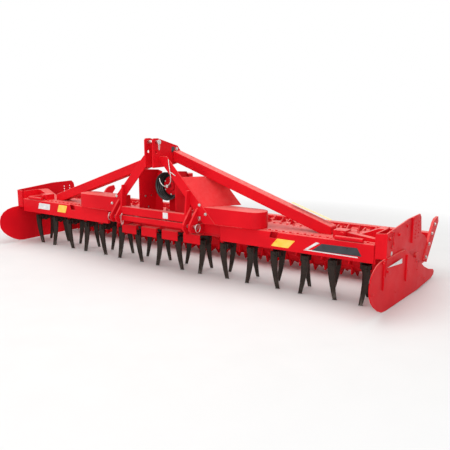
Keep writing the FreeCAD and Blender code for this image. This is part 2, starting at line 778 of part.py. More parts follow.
def build_guard():
    outer, wall = size["pto_guard_radius"], size["pto_guard_wall"]
    rear = -rotor_line
    guard = new_body("pto_guard")
    sketch = new_sketch(guard, "XZ", rear + size["pto_guard_front"] - size["pto_guard_length"])
    draw_polygon(sketch, 0, size["pto_height"], outer, GUARD_SIDES)
    pad(guard, sketch, size["pto_guard_length"])
    hollow = new_sketch(guard, "XZ", rear + size["pto_guard_front"])
    draw_polygon(hollow, 0, size["pto_height"], outer - wall, GUARD_SIDES)
    pocket(guard, hollow, size["pto_guard_length"] - wall)
    keep(guard, "pto_guard")
    guard_back = size["pto_guard_front"] - size["pto_guard_length"] + wall
    shaft = bar("pto_shaft_bar", (0, ahead(guard_back + size["running_gap"] + size["pto_shaft_length"]),
                                  size["pto_height"]), "Y", size["pto_shaft_length"], size["pto_shaft_radius"])
    keep(shaft, "pto_shaft")


# Rotors: a hub, a holder bar and two knife tines each, alternate rotors handed

def build_rotor(number):
    index = number - 1
    x = first_rotor + size["rotor_pitch"] * index
    trail = 1 if index % 2 == 0 else -1
    name = f"rotor_{number:02d}"
    body = new_body(name)
    hub_top = size["trough_bottom"] - size["housing_depth"] - size["running_gap"]
    holder_under = size["holder_top"] - size["holder_depth"]
    hub_sketch = new_sketch(body, "XY", hub_top)
    draw_polygon(hub_sketch, 0, 0, size["hub_radius"], HUB_SIDES)
    pad(body, hub_sketch, hub_top - holder_under, reverse=True)
    holder_sketch = new_sketch(body, "XY", size["holder_top"])
    half = size["tine_top_width"] / 2 + 8
    reach = size["tine_circle"] - size["tine_wall"] / 2
    draw_outline(holder_sketch, [(-reach, -half), (reach, -half), (reach, half), (-reach, half)])
    pad(body, holder_sketch, size["holder_depth"], reverse=True)
    for side in (1, -1):
        lead = size["tine_lead"] * (-trail * side)
        lean = size["tine_lean"] * (trail * side)
        inner = (size["tine_circle"] - size["tine_wall"] / 2) * side
        tine_sketch = new_sketch(body, "YZ", inner)
        top_half, tip_half = size["tine_top_width"] / 2, size["tine_tip_width"] / 2
        draw_outline(tine_sketch, [
            (lead - top_half, size["holder_top"]),
            (lead - top_half, holder_under),
            (lead + lean - tip_half, 0),
            (lead + lean + tip_half, 0),
            (lead + top_half, holder_under),
            (lead + top_half, size["holder_top"]),
        ])
        pad(body, tine_sketch, size["tine_wall"], reverse=(side < 0))
    bind(body, "Placement.Base.x", x)
    bind(body, "Placement.Base.y", rotor_line)
    bind(body, "Placement.Rotation.Angle", size["rotor_rest"])
    keep(body, name)


# Roller: a tube with rings of pointed teeth, alternate rings turned by half a tooth

def build_roller():
    body = new_body("packer_roller")
    half_length = half_width - size["roller_inset"]
    tube_sketch = new_sketch(body, "YZ")
    draw_polygon(tube_sketch, 0, 0, size["roller_tube"], TUBE_SIDES)
    draw_polygon(tube_sketch, 0, 0, size["roller_tube"] - size["roller_wall"], TUBE_SIDES)
    pad(body, tube_sketch, half_length * 2, both_ways=True)
    for side in (1, -1):
        disc_start = (half_length - size["disc_inset"]) * side
        disc_sketch = new_sketch(body, "YZ", disc_start)
        draw_polygon(disc_sketch, 0, 0, size["roller_tube"] - size["roller_wall"] / 2, TUBE_SIDES)
        pad(body, disc_sketch, size["plate_wall"], reverse=(side < 0))
        journal_sketch = new_sketch(body, "YZ", disc_start)
        draw_circle(journal_sketch, 0, 0, size["journal_radius"])
        pad(body, journal_sketch, journal_reach() - half_length + size["disc_inset"], reverse=(side < 0))
    ring_pitch = size["rotor_pitch"] / size["rings_per_rotor"]
    ring_count = size["rotor_count"] * size["rings_per_rotor"]
    first_ring = -half_width + ring_pitch / 2
    step = 360 / size["tooth_count"].number
    for shift in (0, 1):
        ring_sketch = new_sketch(body, "YZ", first_ring + ring_pitch * shift - size["tooth_wall"] / 2)
        outline = []
        for tooth in range(int(size["tooth_count"].number)):
            tip = -90 + tooth * step + shift * step / 2
            foot = tip + step / 2
            outline.append((size["tooth_reach"] * cosine(tip), size["tooth_reach"] * sine(tip)))
            outline.append((size["roller_tube"] * cosine(foot), size["roller_tube"] * sine(foot)))
        draw_outline(ring_sketch, outline)
        draw_polygon(ring_sketch, 0, 0, size["roller_tube"] - size["roller_wall"] * 0.6, TUBE_SIDES)
        ring = pad(body, ring_sketch, size["tooth_wall"])
        repeat(body, [ring], "X", ring_pitch * (ring_count - 2), ring_count / 2)
    bind(body, "Placement.Base.y", roller_line)
    bind(body, "Placement.Base.z", roller_height)
    keep(body, "packer_roller")


# Trough ends with their brackets, roller arms and scraper beam

def arm_inner_x():
    return half_width + size["end_plate_wall"] + size["arm_gap"]


def bracket_x():
    """Inner face of the bracket's outer plate."""
    return arm_inner_x() + size["arm_wall"] + size["arm_gap"]


def journal_reach():
    return arm_inner_x() - size["running_gap"]


def side_plate_inner(distance):
    """X of the side plate's inner face at a distance behind the rotor line."""
    face = bracket_x() + size["end_plate_wall"] + size["running_gap"]
    return face + (size["bracket_front"] + distance) * tangent(size["side_plate_angle"])


def build_end():
    pivot_hole = [(pivot_line, size["pivot_height"], size["pivot_radius"] + size["pivot_play"])]
    end = plate("end_plate_right", "YZ", half_width, size["end_plate_wall"], behind(END_PLATE_CORNERS),
                pivot_hole)
    keep(group("end_plates", [end, mirrored("end_plate_mirror", end)]), "end_plates")
    outer = plate("bracket_plate", "YZ", bracket_x(), size["end_plate_wall"], behind(BRACKET_CORNERS), pivot_hole)
    depth_holes = new_sketch(outer, "YZ", bracket_x() + size["end_plate_wall"])
    for column in DEPTH_COLUMNS:
        for row in range(DEPTH_ROWS):
            height = size["depth_hole_bottom"] + size["depth_hole_pitch"] * row
            draw_polygon(depth_holes, back(column), height, size["depth_hole"], DEPTH_HOLE_SIDES)
    pocket(outer, depth_holes, size["end_plate_wall"])
    rib = new_sketch(outer, "YZ", bracket_x() + size["end_plate_wall"])
    draw_outline(rib, [
        (back(size["rib_line"]), size["rib_bottom"]),
        (back(size["rib_line"]) + size["rib_wall"], size["rib_bottom"]),
        (back(size["rib_line"]) + size["rib_wall"], size["rib_top"]),
        (back(size["rib_line"]), size["rib_top"]),
    ])
    pad(outer, rib, size["rib_reach"])
    front = plate("bracket_front", "XZ", -ahead(size["bracket_front"]), size["end_plate_wall"], [
        (half_width + size["end_plate_wall"], 440),
        (bracket_x() + size["end_plate_wall"], 440),
        (bracket_x() + size["end_plate_wall"], 650),
        (half_width + size["end_plate_wall"], 640),
    ])
    spacer = new_body("bracket_spacer")
    spacer_sketch = new_sketch(spacer, "YZ", bracket_x())
    draw_polygon(spacer_sketch, back(size["spacer_back"]), size["spacer_height"], size["spacer_radius"], HUB_SIDES)
    pad(spacer, spacer_sketch, side_plate_inner(size["spacer_back"]) - size["sheet_wall"] + 2 - bracket_x())
    keep_both_sides(join("end_bracket_pieces", [outer, front, spacer]), "end_bracket")
    pivot = bar("pivot_bar", (half_width + 1, pivot_line, size["pivot_height"]), "X",
                bracket_x() + size["end_plate_wall"] - half_width - 1, size["pivot_radius"])
    keep(group("pivot_pins", [pivot, mirrored("pivot_mirror", pivot)]), "pivot_pins")


def build_end_fittings():
    """Block at the long brace's foot, a folded gusset up to the end plate, a flat bar and the rod by the shield."""
    wall, start = size["fitting_wall"], size["fitting_start"]
    end = start + size["block_length"]
    block = new_body("brace_block")
    block_sketch = new_sketch(block, "XY", deck)
    draw_outline(block_sketch, [
        (start, ahead(size["block_front"])),
        (end, ahead(size["block_front"])),
        (end, ahead(size["block_rear"])),
        (start, ahead(size["block_rear"])),
    ])
    pad(block, block_sketch, size["block_height"])
    boss = new_sketch(block, "XZ", -ahead(size["block_front"]))
    draw_polygon(boss, end - size["block_height"] / 2, deck + size["block_height"] / 2, size["block_boss"], HUB_SIDES)
    pad(block, boss, size["boss_reach"])
    strap = new_body("brace_strap")
    strap_sketch = new_sketch(strap, "XZ", -ahead(size["strap_front"]))
    draw_outline(strap_sketch, [
        (end, deck),
        (half_width, deck),
        (half_width, deck + size["strap_fall"]),
        (end, deck + size["strap_rise"]),
    ])
    pad(strap, strap_sketch, size["strap_width"])
    gusset = new_body("end_gusset")
    foot, crest = size["gusset_start"], half_width - size["gusset_crest"]
    ridge = deck + size["gusset_rise"]
    front = back(size["gusset_front"])
    for cheek_front in (front, front + size["gusset_depth"]):
        cheek = new_sketch(gusset, "XZ", -cheek_front)
        draw_outline(cheek, [(foot, deck), (half_width, deck), (half_width, ridge), (crest, ridge)])
        pad(gusset, cheek, wall, reverse=True)
    top = new_sketch(gusset, "XZ", -front)
    draw_outline(top, [
        (foot, deck),
        (foot + wall * 2, deck),
        (crest, ridge - wall),
        (half_width, ridge - wall),
        (half_width, ridge),
        (crest, ridge),
    ])
    pad(gusset, top, size["gusset_depth"] + wall, reverse=True)
    rod = new_body("shield_rod")
    rod_sketch = new_sketch(rod, "YZ", half_width - size["rod_end"] - size["rod_length"])
    draw_polygon(rod_sketch, ahead(size["shield_front"]) + size["rod_radius"],
                 size["shield_top"] + size["running_gap"] + size["rod_radius"], size["rod_radius"], HUB_SIDES)
    pad(rod, rod_sketch, size["rod_length"])
    right = group("end_fittings_pieces", [join("brace_fittings", [block, strap, gusset]), rod])
    keep(group("end_fittings", [right, mirrored("end_fittings_mirror", right)]), "end_fittings")


def build_roller_frame():
    inner = arm_inner_x()
    arm = plate("arm_plate", "YZ", inner, size["arm_wall"], behind(ARM_CORNERS),
                [(pivot_line, size["pivot_height"], size["pivot_radius"] + size["pivot_play"])])
    outer_face = inner + size["arm_wall"]
    boss = new_sketch(arm, "YZ", outer_face)
    draw_polygon(boss, roller_line, roller_height, size["boss_radius"], TUBE_SIDES)
    pad(arm, boss, size["boss_depth"])
    carrier = plate("beam_carrier", "YZ", inner, size["arm_wall"] + size["carrier_wall"], [
        (back(size["rear_reach"] - distance), height) for distance, height in CARRIER_CORNERS
    ])
    keep_both_sides(join("roller_arm_pieces", [arm, carrier]), "roller_arm")
    beam = new_body("scraper_beam")
    beam_back = back(size["rear_reach"])
    beam_front = beam_back - size["beam_size"]
    tube = new_sketch(beam, "YZ", -inner)
    draw_outline(tube, [
        (beam_front, size["beam_bottom"]),
        (beam_back, size["beam_bottom"]),
        (beam_back, size["beam_bottom"] + size["beam_size"]),
        (beam_front, size["beam_bottom"] + size["beam_size"]),
    ])
    pad(beam, tube, inner * 2)
    ring_pitch = size["rotor_pitch"] / size["rings_per_rotor"]
    tip_reach = size["roller_tube"] + size["ring_setback"]
    tip_y = roller_line + tip_reach * cosine(size["scraper_rise"])
    tip_z = roller_height + tip_reach * sine(size["scraper_rise"])
    blade = new_sketch(beam, "YZ", ring_pitch - half_width - size["scraper_width"] / 2)
    draw_outline(blade, [
        (tip_y, tip_z),
        (beam_front + 20, size["beam_bottom"]),
        (beam_front + 20, size["beam_bottom"] + size["scraper_wall"]),
        (beam_front, size["beam_bottom"] + size["scraper_wall"]),
        (tip_y, tip_z + size["scraper_wall"]),
    ])
    scraper = pad(beam, blade, size["scraper_width"])
    gaps = size["rotor_count"] * size["rings_per_rotor"] - 1
    repeat(beam, [scraper], "X", ring_pitch * (gaps - 1), gaps)
    keep(beam, "scraper_beam")


# Side plates that keep the soil between the rotors

def build_side_plate():
    body = new_body("side_plate_pattern")
    sketch = new_sketch(body, "YZ")
    draw_outline(sketch, SIDE_PLATE_CORNERS)
    pad(body, sketch, size["sheet_wall"])
    ribs = new_sketch(body, "YZ", size["sheet_wall"])
    for start, end, low, high in SIDE_PLATE_RIBS:
        draw_outline(ribs, [(start, low), (end, low), (end, high), (start, high)])
    pad(body, ribs, size["rib_reach"])
    bind(body, "Placement.Base.x", side_plate_inner(-size["front_reach"]))
    bind(body, "Placement.Base.y", ahead(size["front_reach"]))
    body.Placement.Rotation = FreeCAD.Rotation(FreeCAD.Vector(0, 0, -1), size["side_plate_angle"].number)
    bind(body, "Placement.Rotation.Angle", size["side_plate_angle"])
    keep_both_sides(body, "side_plate")


build_trough()
build_cover()
build_shields()
build_stone_guards()
build_headstock()
build_hitch_pins()
build_a_frame(build_brace())
build_hitch()
build_drive()
build_guard()
for number in range(1, ROTORS + 1):
    build_rotor(number)
build_roller()
build_end()
build_end_fittings()
build_roller_frame()
build_side_plate()

document.recompute()

for item in document.Objects:
    if "Invalid" in item.State or "Error" in item.State:
        raise RuntimeError(f"{item.Label} is in state {item.State}")
for name, piece in parts.items():
    if piece.Shape.isNull() or not piece.Shape.isValid():
        raise RuntimeError(f"{name} has no valid shape")

os.makedirs("parts", exist_ok=True)
for name, piece in parts.items():
    piece.Shape.exportStep(f"parts/{name}.step")
    print(name, len(piece.Shape.Solids), round(piece.Shape.Volume / 1e6, 2), piece.Shape.BoundBox)
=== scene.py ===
import json
import math

import bmesh
import bpy
from bpy.props import FloatProperty, FloatVectorProperty, IntProperty, PointerProperty
from bpy.types import Operator, Panel, PropertyGroup
from mathutils import Matrix, Vector
from mathutils.geometry import normal

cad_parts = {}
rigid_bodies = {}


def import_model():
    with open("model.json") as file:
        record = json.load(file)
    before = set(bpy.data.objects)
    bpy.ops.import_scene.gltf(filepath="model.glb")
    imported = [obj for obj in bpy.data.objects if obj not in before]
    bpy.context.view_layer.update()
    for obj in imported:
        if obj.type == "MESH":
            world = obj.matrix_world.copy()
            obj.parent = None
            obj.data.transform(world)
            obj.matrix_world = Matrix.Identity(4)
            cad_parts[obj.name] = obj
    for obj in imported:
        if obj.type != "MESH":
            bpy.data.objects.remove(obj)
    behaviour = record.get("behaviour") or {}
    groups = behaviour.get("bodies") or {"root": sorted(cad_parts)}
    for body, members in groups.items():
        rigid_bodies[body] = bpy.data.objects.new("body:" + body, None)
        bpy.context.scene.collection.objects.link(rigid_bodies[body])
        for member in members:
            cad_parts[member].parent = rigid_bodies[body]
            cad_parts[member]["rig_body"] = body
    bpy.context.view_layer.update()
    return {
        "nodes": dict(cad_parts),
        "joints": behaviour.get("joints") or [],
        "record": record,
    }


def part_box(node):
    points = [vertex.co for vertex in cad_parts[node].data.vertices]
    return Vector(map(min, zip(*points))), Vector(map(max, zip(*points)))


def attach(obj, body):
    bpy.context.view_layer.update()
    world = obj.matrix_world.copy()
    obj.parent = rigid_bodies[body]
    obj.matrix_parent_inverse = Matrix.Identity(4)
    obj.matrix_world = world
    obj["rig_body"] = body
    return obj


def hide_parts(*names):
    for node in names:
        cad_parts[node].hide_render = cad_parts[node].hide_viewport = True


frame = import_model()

bl_info = {
    "name": "Power Harrow Dressing",
    "version": (1, 0, 0),
    "blender": (4, 5, 0),
    "location": "3D View > Sidebar > Harrow",
    "description": "Finishes and small fittings for a mounted power harrow with a tooth packer roller",
    "category": "Object",
}

MM = 0.001

ROTOR_JOINTS = [joint for joint in frame["joints"] if joint["name"].startswith("rotor_")]
ROLLER_JOINT = next(joint for joint in frame["joints"] if joint["name"] == "roller_spin")
ROTOR_PITCH = ROTOR_JOINTS[1]["pos_m"][0] - ROTOR_JOINTS[0]["pos_m"][0]
HALF_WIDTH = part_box("gear_trough")[1].x
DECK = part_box("trough_cover")[1].z
# Where a side plate's sheet runs parallel to the harrow's middle again, and how far its solid's box stands outside it
PLATE_KNEE = 0.10
PLATE_STANDOFF = 15 * MM


# Colours and shader nodes

def linear(hex_colour):
    """Linear colour of an sRGB hex value such as #c81020."""
    values = [int(hex_colour[place:place + 2], 16) / 255 for place in (1, 3, 5)]
    turned = [value / 12.92 if value <= 0.04045 else ((value + 0.055) / 1.055) ** 2.4 for value in values]
    return (*turned, 1.0)


def add_node(tree, kind, inputs=None, **settings):
    """A shader node with its settings; an input is a value or the output socket that feeds it."""
    node = tree.nodes.new(kind)
    for key, value in settings.items():
        setattr(node, key, value)
    for key, value in (inputs or {}).items():
        if isinstance(value, bpy.types.NodeSocket):
            tree.links.new(value, node.inputs[key])
        else:
            node.inputs[key].default_value = value
    return node


def new_material(name):
    """Empty material and its node tree."""
    material = bpy.data.materials.new(name)
    material.use_nodes = True
    material.node_tree.nodes.clear()
    return material, material.node_tree


def per_metre(size_mm):
    """Pattern scale that gives features of a size in millimetres."""
    return 1 / (size_mm * MM)


def object_noise(tree, size_mm, detail=3.0, roughness=0.5, stretch=(1, 1, 1)):
    """Noise on object coordinates with features of a real size, drawn out along an axis if asked."""
    place = add_node(tree, "ShaderNodeTexCoord")
    mapping = add_node(tree, "ShaderNodeMapping", {"Vector": place.outputs["Object"], "Scale": stretch})
    return add_node(tree, "ShaderNodeTexNoise", {
        "Vector": mapping.outputs["Vector"],
        "Scale": per_metre(size_mm),
        "Detail": detail,
        "Roughness": roughness,
    }).outputs["Fac"]


def maths(tree, operation, first, second):
    """One value from two, such as their product."""
    return add_node(tree, "ShaderNodeMath", {0: first, 1: second}, operation=operation).outputs[0]


def bump(tree, height, strength, depth_mm):
    """Surface relief from a pattern, with a real depth."""
    return add_node(tree, "ShaderNodeBump", {
        "Height": height, "Strength": strength, "Distance": depth_mm * MM,
    }).outputs["Normal"]


def surfaced(material, **inputs):
    """Finish a material with the one surface shader that its inputs feed; _ stands for a space in their names."""
    tree = material.node_tree
    named = {key.replace("_", " "): value for key, value in inputs.items()}
    shader = add_node(tree, "ShaderNodeBsdfPrincipled", named)
    output = add_node(tree, "ShaderNodeOutputMaterial")
    tree.links.new(shader.outputs["BSDF"], output.inputs["Surface"])
    return material


def ramp(tree, factor, low, high, start=0.3, end=0.7):
    """Map a factor from start..end, by default a noise's usual spread, to low..high, clamped."""
    return add_node(tree, "ShaderNodeMapRange", {
        "Value": factor, "From Min": start, "From Max": end, "To Min": low, "To Max": high,
    }, clamp=True).outputs["Result"]


def mix_colour(tree, factor, first, second):
    """Blend of two colours, each a value or a socket."""
    node = add_node(tree, "ShaderNodeMix", data_type="RGBA")
    sockets = {"A": node.inputs[6], "B": node.inputs[7]}
    tree.links.new(factor, node.inputs[0])
    for key, value in (("A", first), ("B", second)):
        if isinstance(value, bpy.types.NodeSocket):
            tree.links.new(value, sockets[key])
        else:
            sockets[key].default_value = value
    return node.outputs[2]


def mottled(tree, pattern, first, second, start, end, most=1.0):
    """Colour that goes from its first tone towards its second where a pattern is strong."""
    return mix_colour(tree, ramp(tree, pattern, 0.0, most, start, end), tuple(first), tuple(second))


def upward(tree):
    """How far a face looks up, from 0 to 1."""
    geometry = add_node(tree, "ShaderNodeNewGeometry")
    split = add_node(tree, "ShaderNodeSeparateXYZ", {"Vector": geometry.outputs["Normal"]})
    return ramp(tree, split.outputs["Z"], 0.0, 1.0, 0.5, 1.0)


def looked_at(tree):
    """1 for rays from the camera, from a mirror finish or through glass, and 0 for the light on the object."""
    path = add_node(tree, "ShaderNodeLightPath")
    seen = path.outputs["Is Camera Ray"]
    for kind in ("Is Glossy Ray", "Is Transmission Ray"):
        seen = maths(tree, "MAXIMUM", seen, path.outputs[kind])
    return seen


# Materials, each named for the real one

def red_enamel(colours):
    """Two-pack gloss enamel sprayed on sheet steel: deep even red, a slight orange peel, a clear sheen, and on faces
    that look up a pale painted sky reflection mixed with dust.
    """
    material, tree = new_material("sprayed_gloss_enamel_on_sheet_steel")
    tone = object_noise(tree, 420, detail=2.0)
    colour = mottled(tree, tone, colours.enamel, colours.enamel_shade, 0.35, 0.65)
    # Painted sky reflection mixed with dust: faces that look up take a pale salmon where a noise is strong, standing in
    # for the sky's sheen on the gloss as well as for settled dust.
    dust_and_sheen = object_noise(tree, 35, detail=6.0, roughness=0.65)
    dust_and_sheen_mask = maths(tree, "MULTIPLY", upward(tree), ramp(tree, dust_and_sheen, 0.22, 0.42, 0.35, 0.7))
    dust_and_sheen_colour = mix_colour(tree, dust_and_sheen_mask, colour, tuple(colours.dust_and_sheen))
    # Orange peel is about 3 mm across, too fine for the picture, so it is drawn at 9 mm.
    peel = object_noise(tree, 9, detail=1.0)
    smear = object_noise(tree, 120, detail=5.0, roughness=0.6)
    return surfaced(
        material,
        Base_Color=dust_and_sheen_colour,
        Roughness=ramp(tree, smear, 0.34, 0.46),
        IOR=1.5,
        Specular_IOR_Level=0.06,
        Normal=bump(tree, peel, 0.06, 0.4),
    )


def zinc_steel(colours):
    """Turned steel, zinc plated: a bright, slightly cloudy grey with fine turning marks."""
    material, tree = new_material("turned_zinc_plated_steel")
    cloud = object_noise(tree, 12, detail=4.0)
    colour = mottled(tree, cloud, colours.zinc, colours.zinc_shade, 0.35, 0.7)
    marks = object_noise(tree, 2.5, detail=2.0, stretch=(6, 1, 1))
    return surfaced(
        material,
        Base_Color=colour,
        Metallic=1.0,
        Roughness=ramp(tree, cloud, 0.26, 0.42),
        Normal=bump(tree, marks, 0.12, 0.2),
    )


def forged_steel(colours):
    """Drop-forged boron steel, oil blackened: dark brown-black scale that soil rubs bright towards the tips."""
    material, tree = new_material("drop_forged_oil_blackened_steel")
    scale = object_noise(tree, 14, detail=7.0, roughness=0.65)
    dark = mottled(tree, scale, colours.scale, colours.scale_brown, 0.35, 0.65)
    place = add_node(tree, "ShaderNodeTexCoord")
    split = add_node(tree, "ShaderNodeSeparateXYZ", {"Vector": place.outputs["Object"]})
    streaks = object_noise(tree, 22, detail=5.0, stretch=(1, 1, 0.25))
    low = ramp(tree, split.outputs["Z"], 1.0, 0.0, 0.0, 0.11)
    worn = maths(tree, "MULTIPLY", low, ramp(tree, streaks, 0.0, 0.55, 0.45, 0.7))
    colour = mix_colour(tree, worn, dark, tuple(colours.worn_steel))
    return surfaced(
        material,
        Base_Color=colour,
        Metallic=0.6,
        Roughness=ramp(tree, scale, 0.38, 0.62),
        Normal=bump(tree, scale, 0.35, 0.8),
    )


def black_plastic(colours):
    """Black polyethylene, rotationally moulded: soft sheen, fine pebbled skin, greyer where it is scuffed."""
    material, tree = new_material("rotomoulded_black_polyethylene")
    scuff = object_noise(tree, 30, detail=6.0, roughness=0.7)
    colour = mottled(tree, scuff, colours.plastic, colours.plastic_scuff, 0.5, 0.8, most=0.5)
    pebble = object_noise(tree, 3, detail=2.0)
    return surfaced(
        material,
        Base_Color=colour,
        Roughness=ramp(tree, scuff, 0.32, 0.5),
        IOR=1.5,
        Normal=bump(tree, pebble, 0.2, 0.3),
    )


def vinyl(name, colour, edge):
    """Printed vinyl sticker: even colour under a thin clear film, a little faded in patches."""
    material, tree = new_material(name)
    fade = object_noise(tree, 60, detail=4.0)
    shade = mottled(tree, fade, colour, edge, 0.35, 0.75, most=0.6)
    return surfaced(
        material,
        Base_Color=shade,
        Roughness=ramp(tree, fade, 0.25, 0.4),
        IOR=1.5,
    )


def studio_paint(stage):
    """Matt wall paint on the studio floor."""
    # Pale and even near the object; far off, where no shadow falls, the camera sees plain white.
    material, tree = new_material("matt_studio_wall_paint")
    grain = object_noise(tree, 300, detail=3.0)
    colour = mix_colour(tree, grain, tuple(stage.floor), tuple(stage.floor_shade))
    shader = add_node(tree, "ShaderNodeBsdfPrincipled", {
        "Base Color": colour,
        "Roughness": 0.85,
        "Specular IOR Level": 0.2,
    })
    place = add_node(tree, "ShaderNodeTexCoord")
    distance = add_node(tree, "ShaderNodeVectorMath", {0: place.outputs["Object"]}, operation="LENGTH")
    far = ramp(tree, distance.outputs["Value"], 0.0, 1.0, stage.white_from, stage.white_to)
    hidden = maths(tree, "MULTIPLY", far, looked_at(tree))
    white = add_node(tree, "ShaderNodeEmission", {"Color": linear("#ffffff"), "Strength": 1.0})
    mix = add_node(tree, "ShaderNodeMixShader", {0: hidden, 1: shader.outputs["BSDF"], 2: white.outputs[0]})
    output = add_node(tree, "ShaderNodeOutputMaterial")
    tree.links.new(mix.outputs[0], output.inputs["Surface"])
    return material


# Mesh helpers

def along(direction):
    """Rotation that turns +Z to a direction."""
    return Vector(direction).to_track_quat("Z", "Y").to_matrix().to_4x4()


def add_block(bm, low, high):
    """Box between two corners."""
    low, high = Vector(low), Vector(high)
    shape = Matrix.Translation((low + high) / 2) @ Matrix.Diagonal((*(high - low), 1))
    bmesh.ops.create_cube(bm, size=1, matrix=shape)


def round_off(bm, geom, size, segments=2, affect="EDGES"):
    """Round the edges or corners of a piece."""
    bmesh.ops.bevel(bm, geom=geom, offset=size, offset_type="OFFSET", affect=affect, segments=segments,
                    profile=0.5, material=-1, clamp_overlap=True)


def add_round(bm, base, direction, radius, length, segments=24, tip_radius=None):
    """Round bar, disc or cone that starts at a point and runs along a direction."""
    direction = Vector(direction).normalized()
    middle = Vector(base) + direction * length / 2
    bmesh.ops.create_cone(bm, cap_ends=True, segments=segments, radius1=radius,
                          radius2=radius if tip_radius is None else tip_radius, depth=length,
                          matrix=Matrix.Translation(middle) @ along(direction))


def add_bolt(bm, seat, direction, thread):
    """Hex bolt head on its washer; sizes follow the thread's diameter."""
    direction = Vector(direction).normalized()
    add_round(bm, seat, direction, thread * 1.05, thread * 0.18, segments=16)
    head = Vector(seat) + direction * thread * 0.18
    add_round(bm, head, direction, thread * 0.92, thread * 0.5, segments=6)
    add_round(bm, head + direction * thread * 0.5, direction, thread * 0.78, thread * 0.1, segments=6,
              tip_radius=thread * 0.6)


def join_into(bm, piece):
    """Move a smaller bmesh's geometry into a larger one."""
    held = bpy.data.meshes.new("held_piece")
    piece.to_mesh(held)
    piece.free()
    bm.from_mesh(held)
    bpy.data.meshes.remove(held)


def add_weld(bm, start, end, size):
    """Weld bead along a seam, with the ripples of its runs."""
    start, end = Vector(start), Vector(end)
    length = (end - start).length
    bead = bmesh.new()
    bmesh.ops.create_cone(bead, cap_ends=True, segments=6, radius1=size, radius2=size, depth=length)
    long_edges = [edge for edge in bead.edges if edge.calc_length() > length * 0.9]
    bmesh.ops.subdivide_edges(bead, edges=long_edges, cuts=max(4, int(length / (size * 1.6))), use_grid_fill=False)
    for vert in bead.verts:
        ripple = 0.84 + 0.16 * math.cos(vert.co.z / size * math.tau / 3.2)
        vert.co.x *= ripple
        vert.co.y *= ripple
    bmesh.ops.transform(bead, matrix=Matrix.Translation((start + end) / 2) @ along(end - start), verts=bead.verts)
    join_into(bm, bead)


def add_flat_sign(bm, corners, outward, thickness, rounding=0.0):
    """Sticker or thin plate on a flat face: the corners joined to a face, rounded, then given a thickness."""
    sign = bmesh.new()
    verts = [sign.verts.new(Vector(corner)) for corner in corners]
    face = sign.faces.new(verts)
    face.normal_update()
    if face.normal.dot(Vector(outward)) < 0:
        face.normal_flip()
    if rounding:
        round_off(sign, verts, rounding, segments=4, affect="VERTICES")
    raised = bmesh.ops.extrude_face_region(sign, geom=sign.faces[:], use_keep_orig=True)
    top = [item for item in raised["geom"] if isinstance(item, bmesh.types.BMVert)]
    bmesh.ops.translate(sign, verts=top, vec=Vector(outward).normalized() * thickness)
    bmesh.ops.recalc_face_normals(sign, faces=sign.faces)
    join_into(bm, sign)


def add_sheet(bm, corners, thickness):
    """Sheet metal: a flat outline given a thickness along its own normal."""
    add_flat_sign(bm, corners, normal([Vector(corner) for corner in corners]), thickness)


def add_turned(bm, centre, direction, profile, steps=48):
    """Turned piece: a profile of radius and distance pairs, spun about an axis through a centre."""
    turned = bmesh.new()
    verts = [turned.verts.new((radius, 0, distance)) for radius, distance in profile]
    edges = [turned.edges.new(pair) for pair in zip(verts, verts[1:])]
    bmesh.ops.spin(turned, geom=verts + edges, cent=(0, 0, 0), axis=(0, 0, 1), angle=math.tau, steps=steps,
                   use_merge=True)
    settle(turned)
    bmesh.ops.transform(turned, matrix=Matrix.Translation(Vector(centre)) @ along(direction), verts=turned.verts)
    join_into(bm, turned)


def add_wire(bm, points, radius, closed=False):
    """Bent round wire through the neighbourhood of its points."""
    line = bpy.data.curves.new("held_wire", "CURVE")
    line.dimensions = "3D"
    line.bevel_depth = radius
    line.bevel_resolution = 2
    line.use_fill_caps = True
    line.resolution_u = 6
    spline = line.splines.new("NURBS")
    spline.points.add(len(points) - 1)
    for point, place in zip(spline.points, points):
        point.co = (*place, 1)
    spline.use_cyclic_u = closed
    spline.use_endpoint_u = not closed
    spline.order_u = 3
    holder = bpy.data.objects.new("held_wire", line)
    mesh = bpy.data.meshes.new_from_object(holder)
    bm.from_mesh(mesh)
    bpy.data.meshes.remove(mesh)
    bpy.data.objects.remove(holder)
    bpy.data.curves.remove(line)


def ring_points(centre, half_width, half_height, count=12):
    """Points of a closed loop that stands lengthwise and upright."""
    turns = [math.tau * step / count for step in range(count)]
    return [Vector(centre) + Vector((0, half_width * math.cos(turn), half_height * math.sin(turn))) for turn in turns]


def settle(bm):
    """Merge doubles and point every face outwards."""
    bmesh.ops.remove_doubles(bm, verts=bm.verts, dist=0.02 * MM)
    bmesh.ops.recalc_face_normals(bm, faces=bm.faces)


def place_object(name, data):
    """A new object in the scene."""
    item = bpy.data.objects.new(name, data)
    bpy.context.scene.collection.objects.link(item)
    return item


def make_piece(bm, name, body, slot, replaced=(), bevel=0.0, segments=2, crease=35.0, finish=None,
               own_faces=False):
    """Turn a bmesh into a finished piece that rides on its body; its finish is the slot's unless one is named."""
    if not own_faces:
        settle(bm)
    mesh = bpy.data.meshes.new(name)
    bm.to_mesh(mesh)
    bm.free()
    mesh.shade_smooth()
    mesh.set_sharp_from_angle(angle=math.radians(crease))
    piece = place_object(name, mesh)
    mesh.materials.append(FINISHES[finish or slot])
    if bevel:
        rounding = piece.modifiers.new("rounded_edges", "BEVEL")
        rounding.width = bevel
        rounding.segments = segments
        rounding.limit_method = "ANGLE"
        rounding.angle_limit = math.radians(30)
        rounding.harden_normals = True
        rounding.use_clamp_overlap = True
    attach(piece, body)
    if replaced:
        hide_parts(*replaced)


def dressed_copy(node, slot, bevel):
    """A CAD node's own form with the rounded edges of cut and folded plate."""
    bm = bmesh.new()
    bm.from_mesh(frame["nodes"][node].data)
    bmesh.ops.remove_doubles(bm, verts=bm.verts, dist=0.02 * MM)
    bmesh.ops.dissolve_limit(bm, angle_limit=math.radians(0.5), use_dissolve_boundaries=False,
                             verts=bm.verts, edges=bm.edges, delimit={"NORMAL"})
    make_piece(bm, node + "_skin", frame["nodes"][node]["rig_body"], slot, (node,), bevel, own_faces=True)


